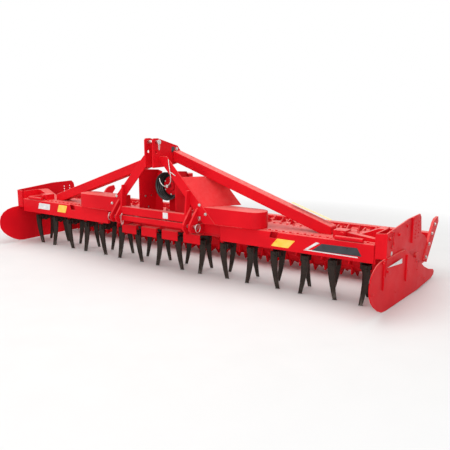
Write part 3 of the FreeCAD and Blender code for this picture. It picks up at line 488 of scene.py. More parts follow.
def side_plate_face(plates, y):
    """Outer face of the right side plate's sheet, which opens towards the rear as far as its knee."""
    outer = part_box("side_plate_right")[1].x - PLATE_STANDOFF
    return outer - (PLATE_KNEE - min(y, PLATE_KNEE)) * math.tan(plates.opening)


# Sizes and colours that a user would change

def tint(name, description, hex_colour):
    """Colour that a user can change."""
    return FloatVectorProperty(name=name, description=description, subtype="COLOR", size=4, min=0, max=1,
                               default=linear(hex_colour))


def length(name, description, metres):
    """Length that a user can change."""
    return FloatProperty(name=name, description=description, unit="LENGTH", default=metres)


def angle(name, description, degrees):
    """Angle that a user can change."""
    return FloatProperty(name=name, description=description, subtype="ANGLE", default=math.radians(degrees))


class HarrowColours(PropertyGroup):
    """Colours of the finishes."""

    enamel: tint("Enamel", "Red of the painted sheet and tube", "#dc1420")
    enamel_shade: tint("Enamel shade", "Red where the coat is thinner", "#cf101d")
    # Painted sky reflection with dust: the pale salmon laid on enamel faces that look up
    dust_and_sheen: tint("Dust", "Fine dust on what looks up", "#e8b0a4")
    zinc: tint("Zinc", "Bright side of the plating", "#d9d8d4")
    zinc_shade: tint("Zinc shade", "Cloudy side of the plating", "#aaa9a6")
    scale: tint("Forging scale", "Blackened steel", "#1d1714")
    scale_brown: tint("Brown scale", "Browner patches of the scale", "#33261e")
    worn_steel: tint("Worn steel", "Steel rubbed by the soil", "#8a8178")
    plastic: tint("Plastic", "Moulded black guard", "#0c0d0e")
    plastic_scuff: tint("Scuffed plastic", "Greyer scuffs on the guard", "#2b2c2c")
    yellow: tint("Yellow vinyl", "Yellow blank signs", "#f2c230")
    yellow_edge: tint("Faded yellow", "Paler patches of the yellow signs", "#f5d876")
    straw: tint("Straw vinyl", "Pale yellow blank strip on the brace", "#f0d490")
    straw_edge: tint("Faded straw", "Paler patches of the strip", "#f3e0b4")
    dark: tint("Dark vinyl", "Dark blank strips", "#20242a")
    dark_edge: tint("Faded dark", "Greyer patches of the dark strips", "#3a3f46")
    pale: tint("Pale vinyl", "White and grey blank signs", "#e4e2e0")
    pale_edge: tint("Faded pale", "Greyer patches of the pale signs", "#b9bcc2")


class HarrowStage(PropertyGroup):
    """Floor, lamps and camera."""

    floor: tint("Floor", "Colour of the floor", "#e4e3e2")
    floor_shade: tint("Floor shade", "Second tone of the floor", "#dfdedd")
    white_from: length("White from", "Distance where the floor starts to fade to white", 2.7)
    white_to: length("White to", "Distance where the floor is plain white", 4.8)
    camera_turn: angle("Camera turn", "Turn of the camera about the upright axis", 35.224)
    camera_dip: angle("Camera dip", "How far the camera looks down", 10.811)
    camera_lens: FloatProperty(name="Lens", description="Focal length in millimetres on a 36 mm sensor", default=45.045)


class HarrowRotors(PropertyGroup):
    """Rotors with their knife tines."""

    turn: angle("Rest turn", "Angle of the tine pairs from the trough", 107)
    hub_radius: length("Hub radius", "Radius of the rotor hub", 62 * MM)
    holder_top: length("Holder top", "Height of the tine holder's top", 350 * MM)
    holder_depth: length("Holder depth", "Height of the tine holder", 62 * MM)
    circle: length("Tine circle", "Rotor axis to the middle of a tine", 118 * MM)
    wall: length("Tine thickness", "Thickness of a tine in its holder", 18 * MM)
    top_width: length("Tine width", "Width of a tine in its holder", 62 * MM)
    tip_width: length("Tip width", "Width of a tine at its tip", 32 * MM)
    lean: length("Lean", "How far the tip trails", 38 * MM)
    lead: length("Lead", "How far the head stands ahead", 14 * MM)


class HarrowSidePlates(PropertyGroup):
    """Side plates, rear beam and the walls beside the gearbox."""

    plate: length("Plate", "Thickness of a side plate", 8 * MM)
    opening: angle("Opening", "Angle that a side plate opens towards the rear", 2.5)
    beam: length("Rear beam", "Side of the rear beam's square tube", 92 * MM)
    blade: length("Blade width", "Width of a scraper blade", 76 * MM)
    wall_reach: length("Wall reach", "Middle of the harrow to a gearbox side wall", 240 * MM)
    wall: length("Wall thickness", "Thickness of a gearbox side wall", 6 * MM)


class HarrowGuard(PropertyGroup):
    """Drive shaft guard."""

    wall: length("Guard wall", "Thickness of the moulding", 5 * MM)
    bore: length("Bore", "Radius of the opening in the guard's back", 92 * MM)
    ribs: IntProperty(name="Ribs", description="Ribs round the guard", default=4, min=2)
    strap: length("Strap width", "Width of the strap that keeps the guard from turning", 26 * MM)


class HarrowRoller(PropertyGroup):
    """Tooth packer roller."""

    tube: length("Tube radius", "Radius of the roller's tube", 198 * MM)
    wall: length("Tube wall", "Thickness of the tube", 10 * MM)
    inset: length("Disc inset", "Tube end to its end disc", 60 * MM)
    teeth: IntProperty(name="Teeth", description="Teeth in one ring", default=10, min=3)
    rings: IntProperty(name="Rings", description="Tooth rings in each rotor pitch", default=2, min=1)
    ring_wall: length("Ring thickness", "Thickness of a tooth ring", 16 * MM)
    journal: length("Journal radius", "Radius of the journals", 40 * MM)


FINISHES = {}


# Operators, one for each piece or group of like pieces

class HARROW_OT_mix_finishes(Operator):
    """Mix the paints, platings and stickers"""
    bl_idname = "harrow.mix_finishes"
    bl_label = "Mix finishes"

    def execute(self, context):
        colours = context.scene.harrow_colours
        FINISHES["red_paint"] = red_enamel(colours)
        FINISHES["bright_steel"] = zinc_steel(colours)
        FINISHES["tine_steel"] = forged_steel(colours)
        FINISHES["guard_plastic"] = black_plastic(colours)
        for shade in ("yellow", "straw", "dark", "pale"):
            faded = getattr(colours, shade + "_edge")
            FINISHES[shade] = vinyl(f"printed_{shade}_vinyl", getattr(colours, shade), faded)
        for entry in frame["record"]["subparts"]:
            node = frame["nodes"][entry["node"]]
            node.data.materials.clear()
            node.data.materials.append(FINISHES[entry["material_slot"]])
        return {"FINISHED"}


class HARROW_OT_dress_frame(Operator):
    """Round the edges of the frame's plates and tubes"""
    bl_idname = "harrow.dress_frame"
    bl_label = "Dress the frame"

    ROUNDING = {
        "gear_trough": 6, "trough_cover": 2, "long_brace": 9, "a_frame": 3, "headstock": 3, "cross_beams": 6,
        "gearbox": 8, "scraper_beam": 7,
    }

    def execute(self, context):
        own = {"packer_roller", "pto_guard", "scraper_beam", "side_plate_right", "side_plate_left"}
        for entry in frame["record"]["subparts"]:
            node = entry["node"]
            if node in own or node.startswith("rotor_"):
                continue
            rounding = next((size for stem, size in self.ROUNDING.items() if node.startswith(stem)), 2)
            dressed_copy(node, entry["material_slot"], rounding * MM)
        return {"FINISHED"}


def add_tine(bm, rotors, side, hand):
    """One knife tine: a tapered blade that sweeps back towards its tip and thins to it."""
    inner = rotors.circle - rotors.wall / 2
    lead = -rotors.lead * hand * side
    lean = rotors.lean * hand * side
    top = rotors.holder_top
    clamp = top - rotors.holder_depth
    blade = bmesh.new()
    add_block(blade, (0, -rotors.top_width / 2, 4 * MM), (rotors.wall, rotors.top_width / 2, top))
    upright = [edge for edge in blade.edges if abs(edge.verts[0].co.z - edge.verts[1].co.z) > top / 2]
    bmesh.ops.subdivide_edges(blade, edges=upright, cuts=9, use_grid_fill=False)
    for vert in blade.verts:
        run = max(0.0, (clamp - vert.co.z) / clamp)
        width = 1 + (rotors.tip_width / rotors.top_width - 1) * run
        vert.co.y = lead + lean * run ** 1.6 + vert.co.y * width
        vert.co.x = (inner + vert.co.x * (1 - 0.45 * run)) * side
    corners = [edge for edge in blade.edges if edge.calc_face_angle(0) > math.radians(60)]
    round_off(blade, corners, 3.5 * MM)
    join_into(bm, blade)


def rotor_forging(rotors, hand, hub_top):
    """A whole rotor on the z axis: hub, holder, two knife tines, nut and tine bolts."""
    holder_under = rotors.holder_top - rotors.holder_depth
    inner = rotors.circle - rotors.wall / 2
    bm = bmesh.new()
    add_round(bm, (0, 0, rotors.holder_top - 2 * MM), (0, 0, 1), rotors.hub_radius,
              hub_top - rotors.holder_top + 2 * MM, segments=32)
    add_round(bm, (0, 0, holder_under), (0, 0, 1), rotors.hub_radius * 0.8, rotors.holder_depth, segments=32)
    holder = bmesh.new()
    add_block(holder, (-inner, -rotors.top_width / 2, holder_under + 3 * MM),
              (inner, rotors.top_width / 2, rotors.holder_top - 3 * MM))
    round_off(holder, holder.edges[:], 6 * MM)
    join_into(bm, holder)
    add_round(bm, (0, 0, holder_under), (0, 0, -1), 22 * MM, 16 * MM, segments=6)
    for side in (1, -1):
        add_tine(bm, rotors, side, hand)
        for lift in (0.28, 0.72):
            seat = ((inner + rotors.wall) * side, -rotors.lead * hand * side,
                    holder_under + rotors.holder_depth * lift)
            add_bolt(bm, seat, (side, 0, 0), 14 * MM)
    return bm


class HARROW_OT_add_rotors(Operator):
    """Build each rotor: hub, holder, two knife tines and their bolts"""
    bl_idname = "harrow.add_rotors"
    bl_label = "Add rotors"

    def execute(self, context):
        rotors = context.scene.harrow_rotors
        hub_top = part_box("rotor_01")[1].z
        forgings = {hand: rotor_forging(rotors, hand, hub_top) for hand in (1, -1)}
        for index, joint in enumerate(ROTOR_JOINTS):
            bm = forgings[1 if index % 2 == 0 else -1].copy()
            place = Matrix.Translation(Vector(joint["pos_m"]) * Vector((1, 1, 0)))
            bmesh.ops.transform(bm, matrix=place @ Matrix.Rotation(rotors.turn, 4, "Z"), verts=bm.verts)
            make_piece(bm, f"rotor_forging_{index + 1:02d}", joint["child"], "tine_steel", (joint["child"],))
        for bm in forgings.values():
            bm.free()
        return {"FINISHED"}


class HARROW_OT_add_roller(Operator):
    """Build the packer roller: tube, end discs, journals and rings of pointed teeth"""
    bl_idname = "harrow.add_roller"
    bl_label = "Add roller"

    def execute(self, context):
        roller = context.scene.harrow_roller
        low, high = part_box("packer_roller")
        axis = Vector((0, ROLLER_JOINT["pos_m"][1], ROLLER_JOINT["pos_m"][2]))
        reach = axis.z - low.z - 0.2 * MM
        half = HALF_WIDTH - 15 * MM
        bm = bmesh.new()
        add_round(bm, axis - Vector((half, 0, 0)), (1, 0, 0), roller.tube, half * 2, segments=64)
        ends = [face for face in bm.faces if len(face.verts) > 4]
        bmesh.ops.inset_individual(bm, faces=ends, thickness=roller.wall, use_even_offset=True)
        for face in ends:
            away = Vector((math.copysign(1, face.calc_center_median().x), 0, 0))
            made = bmesh.ops.extrude_discrete_faces(bm, faces=[face])["faces"][0]
            bmesh.ops.translate(bm, verts=made.verts, vec=-away * roller.inset)
        for side in (1, -1):
            start = axis + Vector(((half - roller.inset - 2 * MM) * side, 0, 0))
            add_round(bm, start, (side, 0, 0), roller.journal * 2.1, 14 * MM, segments=32)
            add_round(bm, start, (side, 0, 0), roller.journal, high.x - 0.1 * MM - abs(start.x), segments=32)
            for bolt in range(6):
                around = math.tau * bolt / 6
                seat = start + Vector((14 * MM * side, math.cos(around) * 66 * MM, math.sin(around) * 66 * MM))
                add_bolt(bm, seat, (side, 0, 0), 14 * MM)
        count = len(ROTOR_JOINTS) * roller.rings
        spacing = ROTOR_PITCH / roller.rings
        for ring in range(count):
            x = -HALF_WIDTH + spacing * (ring + 0.5)
            made = bmesh.ops.create_circle(bm, cap_ends=True, segments=roller.teeth * 2, radius=1)
            verts = made["verts"]
            for vert in verts:
                step = math.pi / roller.teeth
                place = round((math.atan2(vert.co.y, vert.co.x) + math.pi / 2) / step)
                tip = (place + ring) % 2 == 0
                radius = reach if tip else roller.tube - 1 * MM
                vert.co = (0, math.sin(place * step) * radius, -math.cos(place * step) * radius)
            face = verts[0].link_faces[0]
            made = bmesh.ops.extrude_face_region(bm, geom=[face], use_keep_orig=True)
            top = [item for item in made["geom"] if isinstance(item, bmesh.types.BMVert)]
            bmesh.ops.translate(bm, verts=top, vec=(roller.ring_wall, 0, 0))
            bmesh.ops.translate(bm, verts=list(set(verts) | set(top)),
                                vec=axis + Vector((x - roller.ring_wall / 2, 0, 0)))
        make_piece(bm, "packer_roller_welded", "roller", "red_paint", ("packer_roller",),
                   bevel=2 * MM, segments=1)
        return {"FINISHED"}


class HARROW_OT_add_side_plates(Operator):
    """Cut the side plates with their pressed ribs, folded top edges and low tails beside the roller"""
    bl_idname = "harrow.add_side_plates"
    bl_label = "Add side plates"

    # Outline as distance ahead (less) or behind (more) of the machine's middle, and height
    # of the sheet, its low tail and its top edge
    OUTLINE = ((-0.645, 0.452), (-0.75, 0.446), (-0.825, 0.428), (-0.885, 0.396), (-0.925, 0.35), (-0.942, 0.30),
               (-0.943, 0.25), (-0.933, 0.204), (-0.90, 0.154), (-0.85, 0.108), (-0.765, 0.054), (-0.685, 0.022),
               (-0.615, 0.013), (PLATE_KNEE, 0.013))
    TAIL = ((PLATE_KNEE, 0.013), (0.56, 0.016), (0.64, 0.034), (0.66, 0.064), (0.62, 0.092), (0.46, 0.13), (0.30, 0.19),
            (0.20, 0.245), (PLATE_KNEE, 0.283))
    TOP = ((PLATE_KNEE, 0.283), (-0.245, 0.452))
    # Folded edge along the top
    FOLD = ((-0.645, 0.440), (-0.27, 0.440), (-0.27, 0.452), (-0.645, 0.452))
    # Pressed ribs: distance behind the middle, lower end and upper end
    RIBS = ((-0.69, 0.205, 0.440), (-0.20, 0.165, 0.400))
    HALF_RIB = 6 * MM

    def execute(self, context):
        plates = context.scene.harrow_side_plates
        for name, side in (("right", 1), ("left", -1)):
            bm = bmesh.new()

            def on_face(outline):
                return [Vector((side_plate_face(plates, y) * side, y, z)) for y, z in outline]

            for outline in (self.OUTLINE + self.TOP, self.TAIL):
                corners = on_face(outline)
                if side > 0:
                    corners.reverse()
                add_sheet(bm, corners, plates.plate)
            for y, low, high in self.RIBS:
                front, back = y - self.HALF_RIB, y + self.HALF_RIB
                rib = on_face(((front, low), (back, low), (back, high), (front, high)))
                add_flat_sign(bm, rib, (side, 0, 0), 12 * MM, 5 * MM)
            add_flat_sign(bm, on_face(self.FOLD), (side, 0, 0), 13 * MM, 2 * MM)
            make_piece(bm, f"side_plate_{name}_sheet", "frame", "red_paint",
                       (f"side_plate_{name}",), bevel=2 * MM)
        return {"FINISHED"}


class HARROW_OT_add_scraper_beam(Operator):
    """Build the rear beam with a clamped scraper blade between each pair of tooth rings"""
    bl_idname = "harrow.add_scraper_beam"
    bl_label = "Add scraper beam"

    # Front of the solid's box to the tube's front face
    TUBE_BACK = 222 * MM

    def execute(self, context):
        plates = context.scene.harrow_side_plates
        low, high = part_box("scraper_beam")
        front, under = low.y + self.TUBE_BACK, low.z + 8 * MM
        bm = bmesh.new()
        tube = bmesh.new()
        add_block(tube, (low.x, front, under), (high.x, front + plates.beam, under + plates.beam))
        long_edges = [edge for edge in tube.edges if edge.calc_length() > plates.beam * 2]
        round_off(tube, long_edges, 9 * MM, segments=3)
        join_into(bm, tube)
        blades, bolts = bmesh.new(), bmesh.new()
        spacing = ROTOR_PITCH / 2
        tip_y, tip_z, root_z = low.y + 1 * MM, low.z + 1 * MM, under + plates.beam * 0.72
        for number in range(1, int(round(HALF_WIDTH * 2 / spacing))):
            x = -HALF_WIDTH + spacing * number
            half = plates.blade / 2
            left, right = x - half * 0.8, x + half * 0.8
            add_sheet(blades, [(x - half, front, root_z), (x + half, front, root_z), (right, tip_y, tip_z),
                               (left, tip_y, tip_z)], 8 * MM)
            face, foot, head = front - 1 * MM, under + 6 * MM, root_z + 8 * MM
            add_sheet(blades, [(left, face, foot), (right, face, foot), (right, face, head), (left, face, head)],
                      5 * MM)
            for shift in (-18 * MM, 18 * MM):
                add_bolt(bolts, (x + shift, front + plates.beam, under + plates.beam / 2), (0, 1, 0), 10 * MM)
        join_into(bm, blades)
        make_piece(bm, "scraper_beam_welded", "roller_frame", "red_paint", ("scraper_beam",),
                   bevel=1.5 * MM, segments=1)
        make_piece(bolts, "scraper_bolts", "roller_frame", "bright_steel")
        return {"FINISHED"}


class HARROW_OT_add_gearbox_walls(Operator):
    """Weld in the walls between the legs and the gearbox"""
    bl_idname = "harrow.add_gearbox_walls"
    bl_label = "Add gearbox walls"

    # Heights where a wall starts to slope inwards and where it ends at the front, the leg and the gearbox
    SHOULDER, FRONT_TOP, LEG_TOP, INNER_TOP = 0.93, 1.0, 1.02, 0.985
    # Bolts on a wall's inner face: distance ahead of the machine's middle, and height
    BOLTS = ((-0.60, 0.734), (-0.52, 0.734), (-0.56, 0.62))

    def execute(self, context):
        plates = context.scene.harrow_side_plates
        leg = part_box("a_frame_right")[0].y + 14 * MM
        box_low, box_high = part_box("gearbox")
        front, foot = box_low.y, DECK + 0.5 * MM
        bm = bmesh.new()
        for side in (1, -1):
            reach = plates.wall_reach * side
            inner = box_high.x * side
            corner = (reach * 0.78, front, self.FRONT_TOP)
            add_sheet(bm, [(reach, leg, foot), (reach, front, foot), (reach, front, self.SHOULDER), corner,
                           (reach * 0.80, leg, self.LEG_TOP), (reach, leg, self.SHOULDER)], plates.wall)
            add_sheet(bm, [(reach, front, foot), (inner, front, foot), (inner, front, self.INNER_TOP), corner,
                           (reach, front, self.SHOULDER)], plates.wall)
        make_piece(bm, "gearbox_side_walls", "frame", "red_paint", bevel=1.5 * MM, segments=1)
        bm = bmesh.new()
        for side in (1, -1):
            for y, z in self.BOLTS:
                add_bolt(bm, ((plates.wall_reach - 7 * MM) * side, y, z), (-side, 0, 0), 12 * MM)
        make_piece(bm, "gearbox_wall_bolts", "frame", "bright_steel")
        return {"FINISHED"}


class HARROW_OT_add_guard(Operator):
    """Build the drive shaft's ribbed guard and the cast bearing cover inside it"""
    bl_idname = "harrow.add_guard"
    bl_label = "Add guard"

    def execute(self, context):
        guard = context.scene.harrow_guard
        low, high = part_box("pto_guard")
        back = Vector((0, high.y - 0.2 * MM, (low.z + high.z) / 2))
        length, radius, wall = high.y - low.y - 0.4 * MM, (high.z - low.z) / 2, guard.wall
        outer, inner, pitch = [], [], length / guard.ribs
        ribs = [(radius * (0.90 + 0.07 * rib / guard.ribs), length * rib / guard.ribs) for rib in range(guard.ribs)]
        for foot, start in ribs:
            outer += [(foot, start), (foot, start + pitch * 0.6), (foot + 6 * MM, start + pitch * 0.7),
                      (foot + 6 * MM, start + pitch * 0.9)]
        for foot, start in reversed(ribs):
            foot -= wall
            inner += [(foot + 3 * MM, start + pitch * 0.9), (foot - 4 * MM, start + pitch * 0.6), (foot, start + wall)]
        profile = [(guard.bore, 0)] + outer + [(radius, length * 0.97), (radius, length)]
        profile += [(radius - wall, length)] + inner + [(guard.bore, wall), (guard.bore, 0)]
        bm = bmesh.new()
        add_turned(bm, back, (0, -1, 0), profile, steps=64)
        make_piece(bm, "pto_guard_moulding", "frame", "guard_plastic", ("pto_guard",))

        bm = bmesh.new()
        shaft = 20 * MM
        add_turned(bm, back - Vector((0, wall + 0.5 * MM, 0)), (0, -1, 0), [
            (shaft, 0), (guard.bore * 1.05, 0), (guard.bore * 1.05, 9 * MM), (guard.bore * 0.86, 12 * MM),
            (guard.bore * 0.62, 14 * MM), (guard.bore * 0.56, 26 * MM), (guard.bore * 0.36, 30 * MM),
            (shaft, 30 * MM), (shaft, 0),
        ])
        make_piece(bm, "bearing_cover_casting", "frame", "red_paint", bevel=1 * MM)
        bm = bmesh.new()
        for bolt in range(6):
            around = math.tau * (bolt + 0.5) / 6
            reach = guard.bore * 0.95
            add_bolt(bm, back + Vector((reach * math.cos(around), -wall - 9 * MM, reach * math.sin(around))),
                     (0, -1, 0), 10 * MM)
        make_piece(bm, "bearing_cover_bolts", "frame", "bright_steel")

        bm = bmesh.new()
        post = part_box("hitch_bracket_right")[0].x
        strap = [Vector((radius * 0.80, back.y - 30 * MM, back.z - 82 * MM)),
                 Vector((0.24, back.y - 60 * MM, back.z - 86 * MM)),
                 Vector((post, back.y - 115 * MM, back.z - 52 * MM))]
        for start, end in zip(strap, strap[1:]):
            up = Vector((0, 0, guard.strap / 2))
            add_flat_sign(bm, [start - up, end - up, end + up, start + up], (0, -1, 0), 4 * MM)
        make_piece(bm, "guard_strap", "frame", "guard_plastic", bevel=1 * MM)
        return {"FINISHED"}


class HARROW_OT_add_cover_bolts(Operator):
    """Bolt the cover down along both edges of the trough"""
    bl_idname = "harrow.add_cover_bolts"
    bl_label = "Add cover bolts"

    def execute(self, context):
        low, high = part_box("trough_cover")
        spacing = ROTOR_PITCH / 4
        bm = bmesh.new()
        for number in range(int(round((high.x - low.x) / spacing)) - 1):
            x = low.x + spacing * (number + 1)
            for y in (low.y + 14 * MM, high.y - 14 * MM):
                add_bolt(bm, (x, y, DECK), (0, 0, 1), 12 * MM)
        make_piece(bm, "cover_bolts", "frame", "red_paint")
        return {"FINISHED"}


class HARROW_OT_add_plate_bolts(Operator):
    """Bolt the side plates, arms, brackets, legs and the gearbox"""
    bl_idname = "harrow.add_plate_bolts"
    bl_label = "Add plate bolts"

    # Bolts of the right side: distance ahead (less) or behind (more) of the machine's middle, and height
    SIDE_PLATE = ((-0.715, 0.425), (-0.694, 0.314), (-0.178, 0.260), (0.030, 0.290), (-0.436, 0.132), (-0.890, 0.215),
                  (0.184, 0.128), (0.06, 0.215), (0.30, 0.085))
    CARRIER = ((0.640, 0.330), (0.720, 0.420), (0.800, 0.500), (0.560, 0.215))
    BRACKET = ((-0.620, 0.345), (-0.600, 0.600), (-0.380, 0.600), (-0.180, 0.640))
    GEARBOX_FOOT = (-0.40, -0.315, -0.23)
    # Bolts on a leg's front face: distance beside the middle and height
    LEG = ((0.549, 0.722), (0.62, 0.64), (0.549, 0.60))
    # Outer faces of the beam carrier and of the end bracket
    CARRIER_FACE, BRACKET_FACE = 2.309, 2.343

    def execute(self, context):
        red, zinc = bmesh.new(), bmesh.new()
        plates = context.scene.harrow_side_plates
        for side in (1, -1):
            for y, z in self.SIDE_PLATE:
                x = side_plate_face(plates, y)
                add_bolt(red, ((x + plates.plate * 0.9) * side, y, z), (side, 0, 0), 9 * MM)
            for y, z in self.CARRIER:
                add_bolt(zinc, (self.CARRIER_FACE * side, y, z), (side, 0, 0), 16 * MM)
            for y, z in self.BRACKET:
                add_bolt(red, (self.BRACKET_FACE * side, y, z), (side, 0, 0), 16 * MM)
            for y in self.GEARBOX_FOOT:
                add_bolt(red, (0.118 * side, y, 0.572), (0, 0, 1), 14 * MM)
            for x, z in self.LEG:
                add_bolt(zinc, (x * side, -0.702, z), (0, -1, 0), 14 * MM)
            add_bolt(zinc, (0.058 * side, -0.442, 1.221), (side, 0, 0), 16 * MM)
        for bm, name, finish in ((red, "painted_bolts", "red_paint"), (zinc, "zinc_bolts", "bright_steel")):
            make_piece(bm, name, "frame", finish)
        return {"FINISHED"}


class HARROW_OT_add_wires(Operator):
    """Bend the hose hook, the linch pin loops and the clips"""
    bl_idname = "harrow.add_wires"
    bl_label = "Add wires"

    # Silver hook that hangs from the right leg in front of the guard
    HOOK = ((0.176, -0.706, 1.135), (0.187, -0.709, 1.071), (0.199, -0.71, 1.014), (0.207, -0.71, 0.956),
            (0.203, -0.71, 0.91), (0.17, -0.71, 0.878), (0.131, -0.71, 0.868), (0.093, -0.71, 0.880),
            (0.066, -0.71, 0.915), (0.062, -0.71, 0.945))
    BRANCH = ((0.199, -0.71, 1.014), (0.225, -0.708, 1.000), (0.262, -0.706, 0.980))
    # Linch pin loops: middle, half width and half height
    LOOPS = (((0.580, -0.770, 0.512), 36 * MM, 42 * MM), ((-0.580, -0.770, 0.512), 36 * MM, 42 * MM),
             ((-0.408, -0.775, 0.50), 16 * MM, 62 * MM), ((0.094, -0.742, 1.262), 9 * MM, 42 * MM))
    # Bent clip on the right end bracket
    CLIP = ((2.349, -0.575, 0.650), (2.351, -0.535, 0.655), (2.352, -0.530, 0.615), (2.352, -0.565, 0.595),
            (2.352, -0.530, 0.572), (2.351, -0.520, 0.530), (2.349, -0.565, 0.522))

    def execute(self, context):
        bm = bmesh.new()
        add_wire(bm, self.HOOK, 4 * MM)
        add_wire(bm, self.BRANCH, 4 * MM)
        for centre, half_width, half_height in self.LOOPS:
            add_wire(bm, ring_points(centre, half_width, half_height), 3 * MM, closed=True)
        make_piece(bm, "hitch_wires", "frame", "bright_steel", crease=60)
        bm = bmesh.new()
        for side in (1, -1):
            add_wire(bm, [(x * side, y, z) for x, y, z in self.CLIP], 5 * MM)
        make_piece(bm, "bracket_clips", "frame", "red_paint", crease=60)
        return {"FINISHED"}


class HARROW_OT_add_signs(Operator):
    """Stick on the blank signs and stripes"""
    bl_idname = "harrow.add_signs"
    bl_label = "Add signs"

    # On the front shields: finish, rounding in millimetres, then each corner's distance beside the middle and height
    SHIELD = (
        ("yellow", 3, ((1.303, 0.420), (1.475, 0.420), (1.540, 0.492), (1.365, 0.492))),
        ("yellow", 3, ((-1.600, 0.445), (-1.455, 0.445), (-1.420, 0.530), (-1.565, 0.530))),
        ("dark", 4, ((1.700, 0.432), (2.140, 0.440), (2.100, 0.505), (1.790, 0.500))),
        ("pale", 1, ((1.616, 0.424), (2.110, 0.424), (2.105, 0.432), (1.660, 0.433))),
        ("pale", 1, ((1.630, 0.431), (1.665, 0.434), (1.770, 0.502), (1.740, 0.508))),
        ("pale", 6, ((-1.954, 0.450), (-1.740, 0.450), (-1.726, 0.520), (-1.930, 0.520))),
    )
    # On the cross beam, in the same way, and on the headstock's right side with distances from the middle rearwards
    BEAM = ((0.148, 0.563), (0.212, 0.563), (0.212, 0.622), (0.148, 0.622))
    CHEEK = ((-0.519, 1.187), (-0.470, 1.187), (-0.470, 1.243), (-0.519, 1.243))
    # On the right side plate: distance inside its outermost point, distance from the middle rearwards, and height
    PLATE = ((0.0285, -0.643, 0.380), (0.015, -0.334, 0.394), (0.015, -0.330, 0.352))
    # Drop of the right brace's top face for each metre outwards, and where its strip starts and ends
    FALL = 0.3183
    STRIP = (1.38, 1.76)

    def execute(self, context):
        signs = {finish: bmesh.new() for finish in ("yellow", "dark", "straw", "pale")}
        ahead, aside, film = (0, -1, 0), (1, 0, 0), 0.8 * MM
        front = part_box("front_shields")[0].y
        for finish, rounding, corners in self.SHIELD:
            add_flat_sign(signs[finish], [(x, front, z) for x, z in corners], ahead, film, rounding * MM)
        brace_low, brace_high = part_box("long_brace_right")
        near, far = (Vector((x, -0.442, brace_high.z - (x - brace_low.x) * self.FALL)) for x in self.STRIP)
        width = Vector((0, 42 * MM, 0))
        add_flat_sign(signs["straw"], [near, far, far + width, near + width], (self.FALL, 0, 1), 1.2 * MM, 4 * MM)
        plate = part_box("side_plate_right")[1].x - 6 * MM
        add_flat_sign(signs["pale"], [(plate - inside, y, z) for inside, y, z in self.PLATE], aside, film, 2 * MM)
        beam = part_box("cross_beams")[0].y
        add_flat_sign(signs["pale"], [(x, beam, z) for x, z in self.BEAM], ahead, film, 3 * MM)
        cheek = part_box("headstock")[1].x
        add_flat_sign(signs["dark"], [(cheek, y, z) for y, z in self.CHEEK], aside, film, 3 * MM)
        for name, finish, slot in (("yellow_signs", "yellow", "red_paint"), ("dark_stripes", "dark", "guard_plastic"),
                                   ("brace_strip", "straw", "red_paint"), ("pale_stripes", "pale", "bright_steel")):
            make_piece(signs[finish], name, "frame", slot, finish=finish)
        return {"FINISHED"}


class HARROW_OT_add_welds(Operator):
    """Run the weld beads along the frame's seams"""
    bl_idname = "harrow.add_welds"
    bl_label = "Add welds"

    # Both ends of each seam on the right; the left has the same
    SEAMS = (
        ((0.588, -0.702, DECK), (1.02, -0.690, DECK)),
        ((0.588, -0.460, DECK), (1.05, -0.460, DECK)),
        ((0.062, -0.702, 1.118), (0.062, -0.702, 1.158)),
        ((0.4155, -0.7015, 0.640), (0.4155, -0.7015, 0.845)),
        ((2.249, -0.652, 0.445), (2.249, -0.652, 0.635)),
        ((1.700, -0.498, DECK), (1.800, -0.498, DECK)),
        ((1.800, -0.498, DECK), (1.800, -0.382, DECK)),
    )

    def execute(self, context):
        bm = bmesh.new()
        for start, end in self.SEAMS:
            for side in (1, -1):
                add_weld(bm, (start[0] * side, *start[1:]), (end[0] * side, *end[1:]), 3.5 * MM)
        make_piece(bm, "weld_beads", "frame", "red_paint", crease=60)
        return {"FINISHED"}


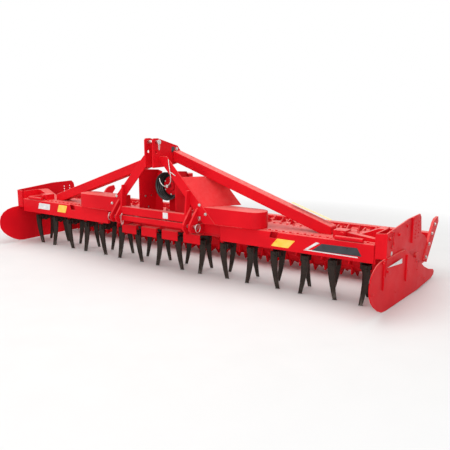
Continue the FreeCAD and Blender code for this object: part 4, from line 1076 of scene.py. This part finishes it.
class HARROW_OT_add_stage(Operator):
    """Set up the floor, the soft lamps and the camera"""
    bl_idname = "harrow.add_stage"
    bl_label = "Add stage"

    def execute(self, context):
        stage = context.scene.harrow_stage
        scene = context.scene
        bm = bmesh.new()
        bmesh.ops.create_grid(bm, x_segments=1, y_segments=1, size=40)
        mesh = bpy.data.meshes.new("studio_floor")
        bm.to_mesh(mesh)
        bm.free()
        floor = place_object("studio_floor", mesh)
        floor.location.z = -0.5 * MM
        mesh.materials.append(studio_paint(stage))

        world = bpy.data.worlds.new("soft_studio")
        scene.world = world
        world.use_nodes = True
        tree = world.node_tree
        tree.nodes.clear()
        soft = add_node(tree, "ShaderNodeBackground", {"Color": linear("#ffffff"), "Strength": 0.55})
        white = add_node(tree, "ShaderNodeBackground", {"Color": linear("#ffffff"), "Strength": 1.0})
        mix = add_node(tree, "ShaderNodeMixShader", {0: looked_at(tree), 1: soft.outputs[0], 2: white.outputs[0]})
        output = add_node(tree, "ShaderNodeOutputWorld")
        tree.links.new(mix.outputs[0], output.inputs["Surface"])

        for name, place, aim, size, power in (
            ("overhead_softbox", (0.5, -0.5, 6.0), (0, -0.3, 0), (8.0, 6.0), 330),
            ("front_fill", (4.5, -8.0, 2.8), (0.2, -0.4, 0.5), (5.0, 3.0), 230),
            ("left_fill", (-7.0, -5.0, 3.5), (-1.0, -0.4, 0.5), (4.0, 3.0), 130),
        ):
            lamp = bpy.data.lights.new(name, "AREA")
            lamp.shape = "RECTANGLE"
            lamp.size, lamp.size_y = size
            lamp.energy = power
            source = place_object(name, lamp)
            source.location = place
            source.rotation_euler = (Vector(aim) - Vector(place)).to_track_quat("-Z", "Y").to_euler()

        camera_data = bpy.data.cameras.new("photo_camera")
        camera_data.lens = stage.camera_lens
        camera_data.sensor_width = 36
        camera = place_object("photo_camera", camera_data)
        camera.location = (3.7653, -4.8414, 1.5303)
        camera.rotation_euler = (math.radians(90) - stage.camera_dip, 0, stage.camera_turn)
        scene.camera = camera
        scene.view_settings.view_transform = "Standard"
        return {"FINISHED"}


PIECE_OPERATORS = (
    HARROW_OT_mix_finishes,
    HARROW_OT_dress_frame,
    HARROW_OT_add_rotors,
    HARROW_OT_add_roller,
    HARROW_OT_add_side_plates,
    HARROW_OT_add_scraper_beam,
    HARROW_OT_add_gearbox_walls,
    HARROW_OT_add_guard,
    HARROW_OT_add_cover_bolts,
    HARROW_OT_add_plate_bolts,
    HARROW_OT_add_wires,
    HARROW_OT_add_signs,
    HARROW_OT_add_welds,
    HARROW_OT_add_stage,
)


class HARROW_PT_pieces(Panel):
    """Buttons for every piece of the harrow"""
    bl_idname = "HARROW_PT_pieces"
    bl_label = "Power harrow"
    bl_space_type = "VIEW_3D"
    bl_region_type = "UI"
    bl_category = "Harrow"

    def draw(self, context):
        for operator in PIECE_OPERATORS:
            self.layout.operator(operator.bl_idname)


GROUPS = {
    "harrow_colours": HarrowColours,
    "harrow_stage": HarrowStage,
    "harrow_rotors": HarrowRotors,
    "harrow_side_plates": HarrowSidePlates,
    "harrow_guard": HarrowGuard,
    "harrow_roller": HarrowRoller,
}


def register():
    for group in GROUPS.values():
        bpy.utils.register_class(group)
    for operator in PIECE_OPERATORS:
        bpy.utils.register_class(operator)
    bpy.utils.register_class(HARROW_PT_pieces)
    for name, group in GROUPS.items():
        setattr(bpy.types.Scene, name, PointerProperty(type=group))


def unregister():
    for name in GROUPS:
        delattr(bpy.types.Scene, name)
    bpy.utils.unregister_class(HARROW_PT_pieces)
    for operator in reversed(PIECE_OPERATORS):
        bpy.utils.unregister_class(operator)
    for group in reversed(GROUPS.values()):
        bpy.utils.unregister_class(group)


def main():
    register()
    for operator in PIECE_OPERATORS:
        group, name = operator.bl_idname.split(".")
        getattr(getattr(bpy.ops, group), name)()


if __name__ == "__main__":
    main()
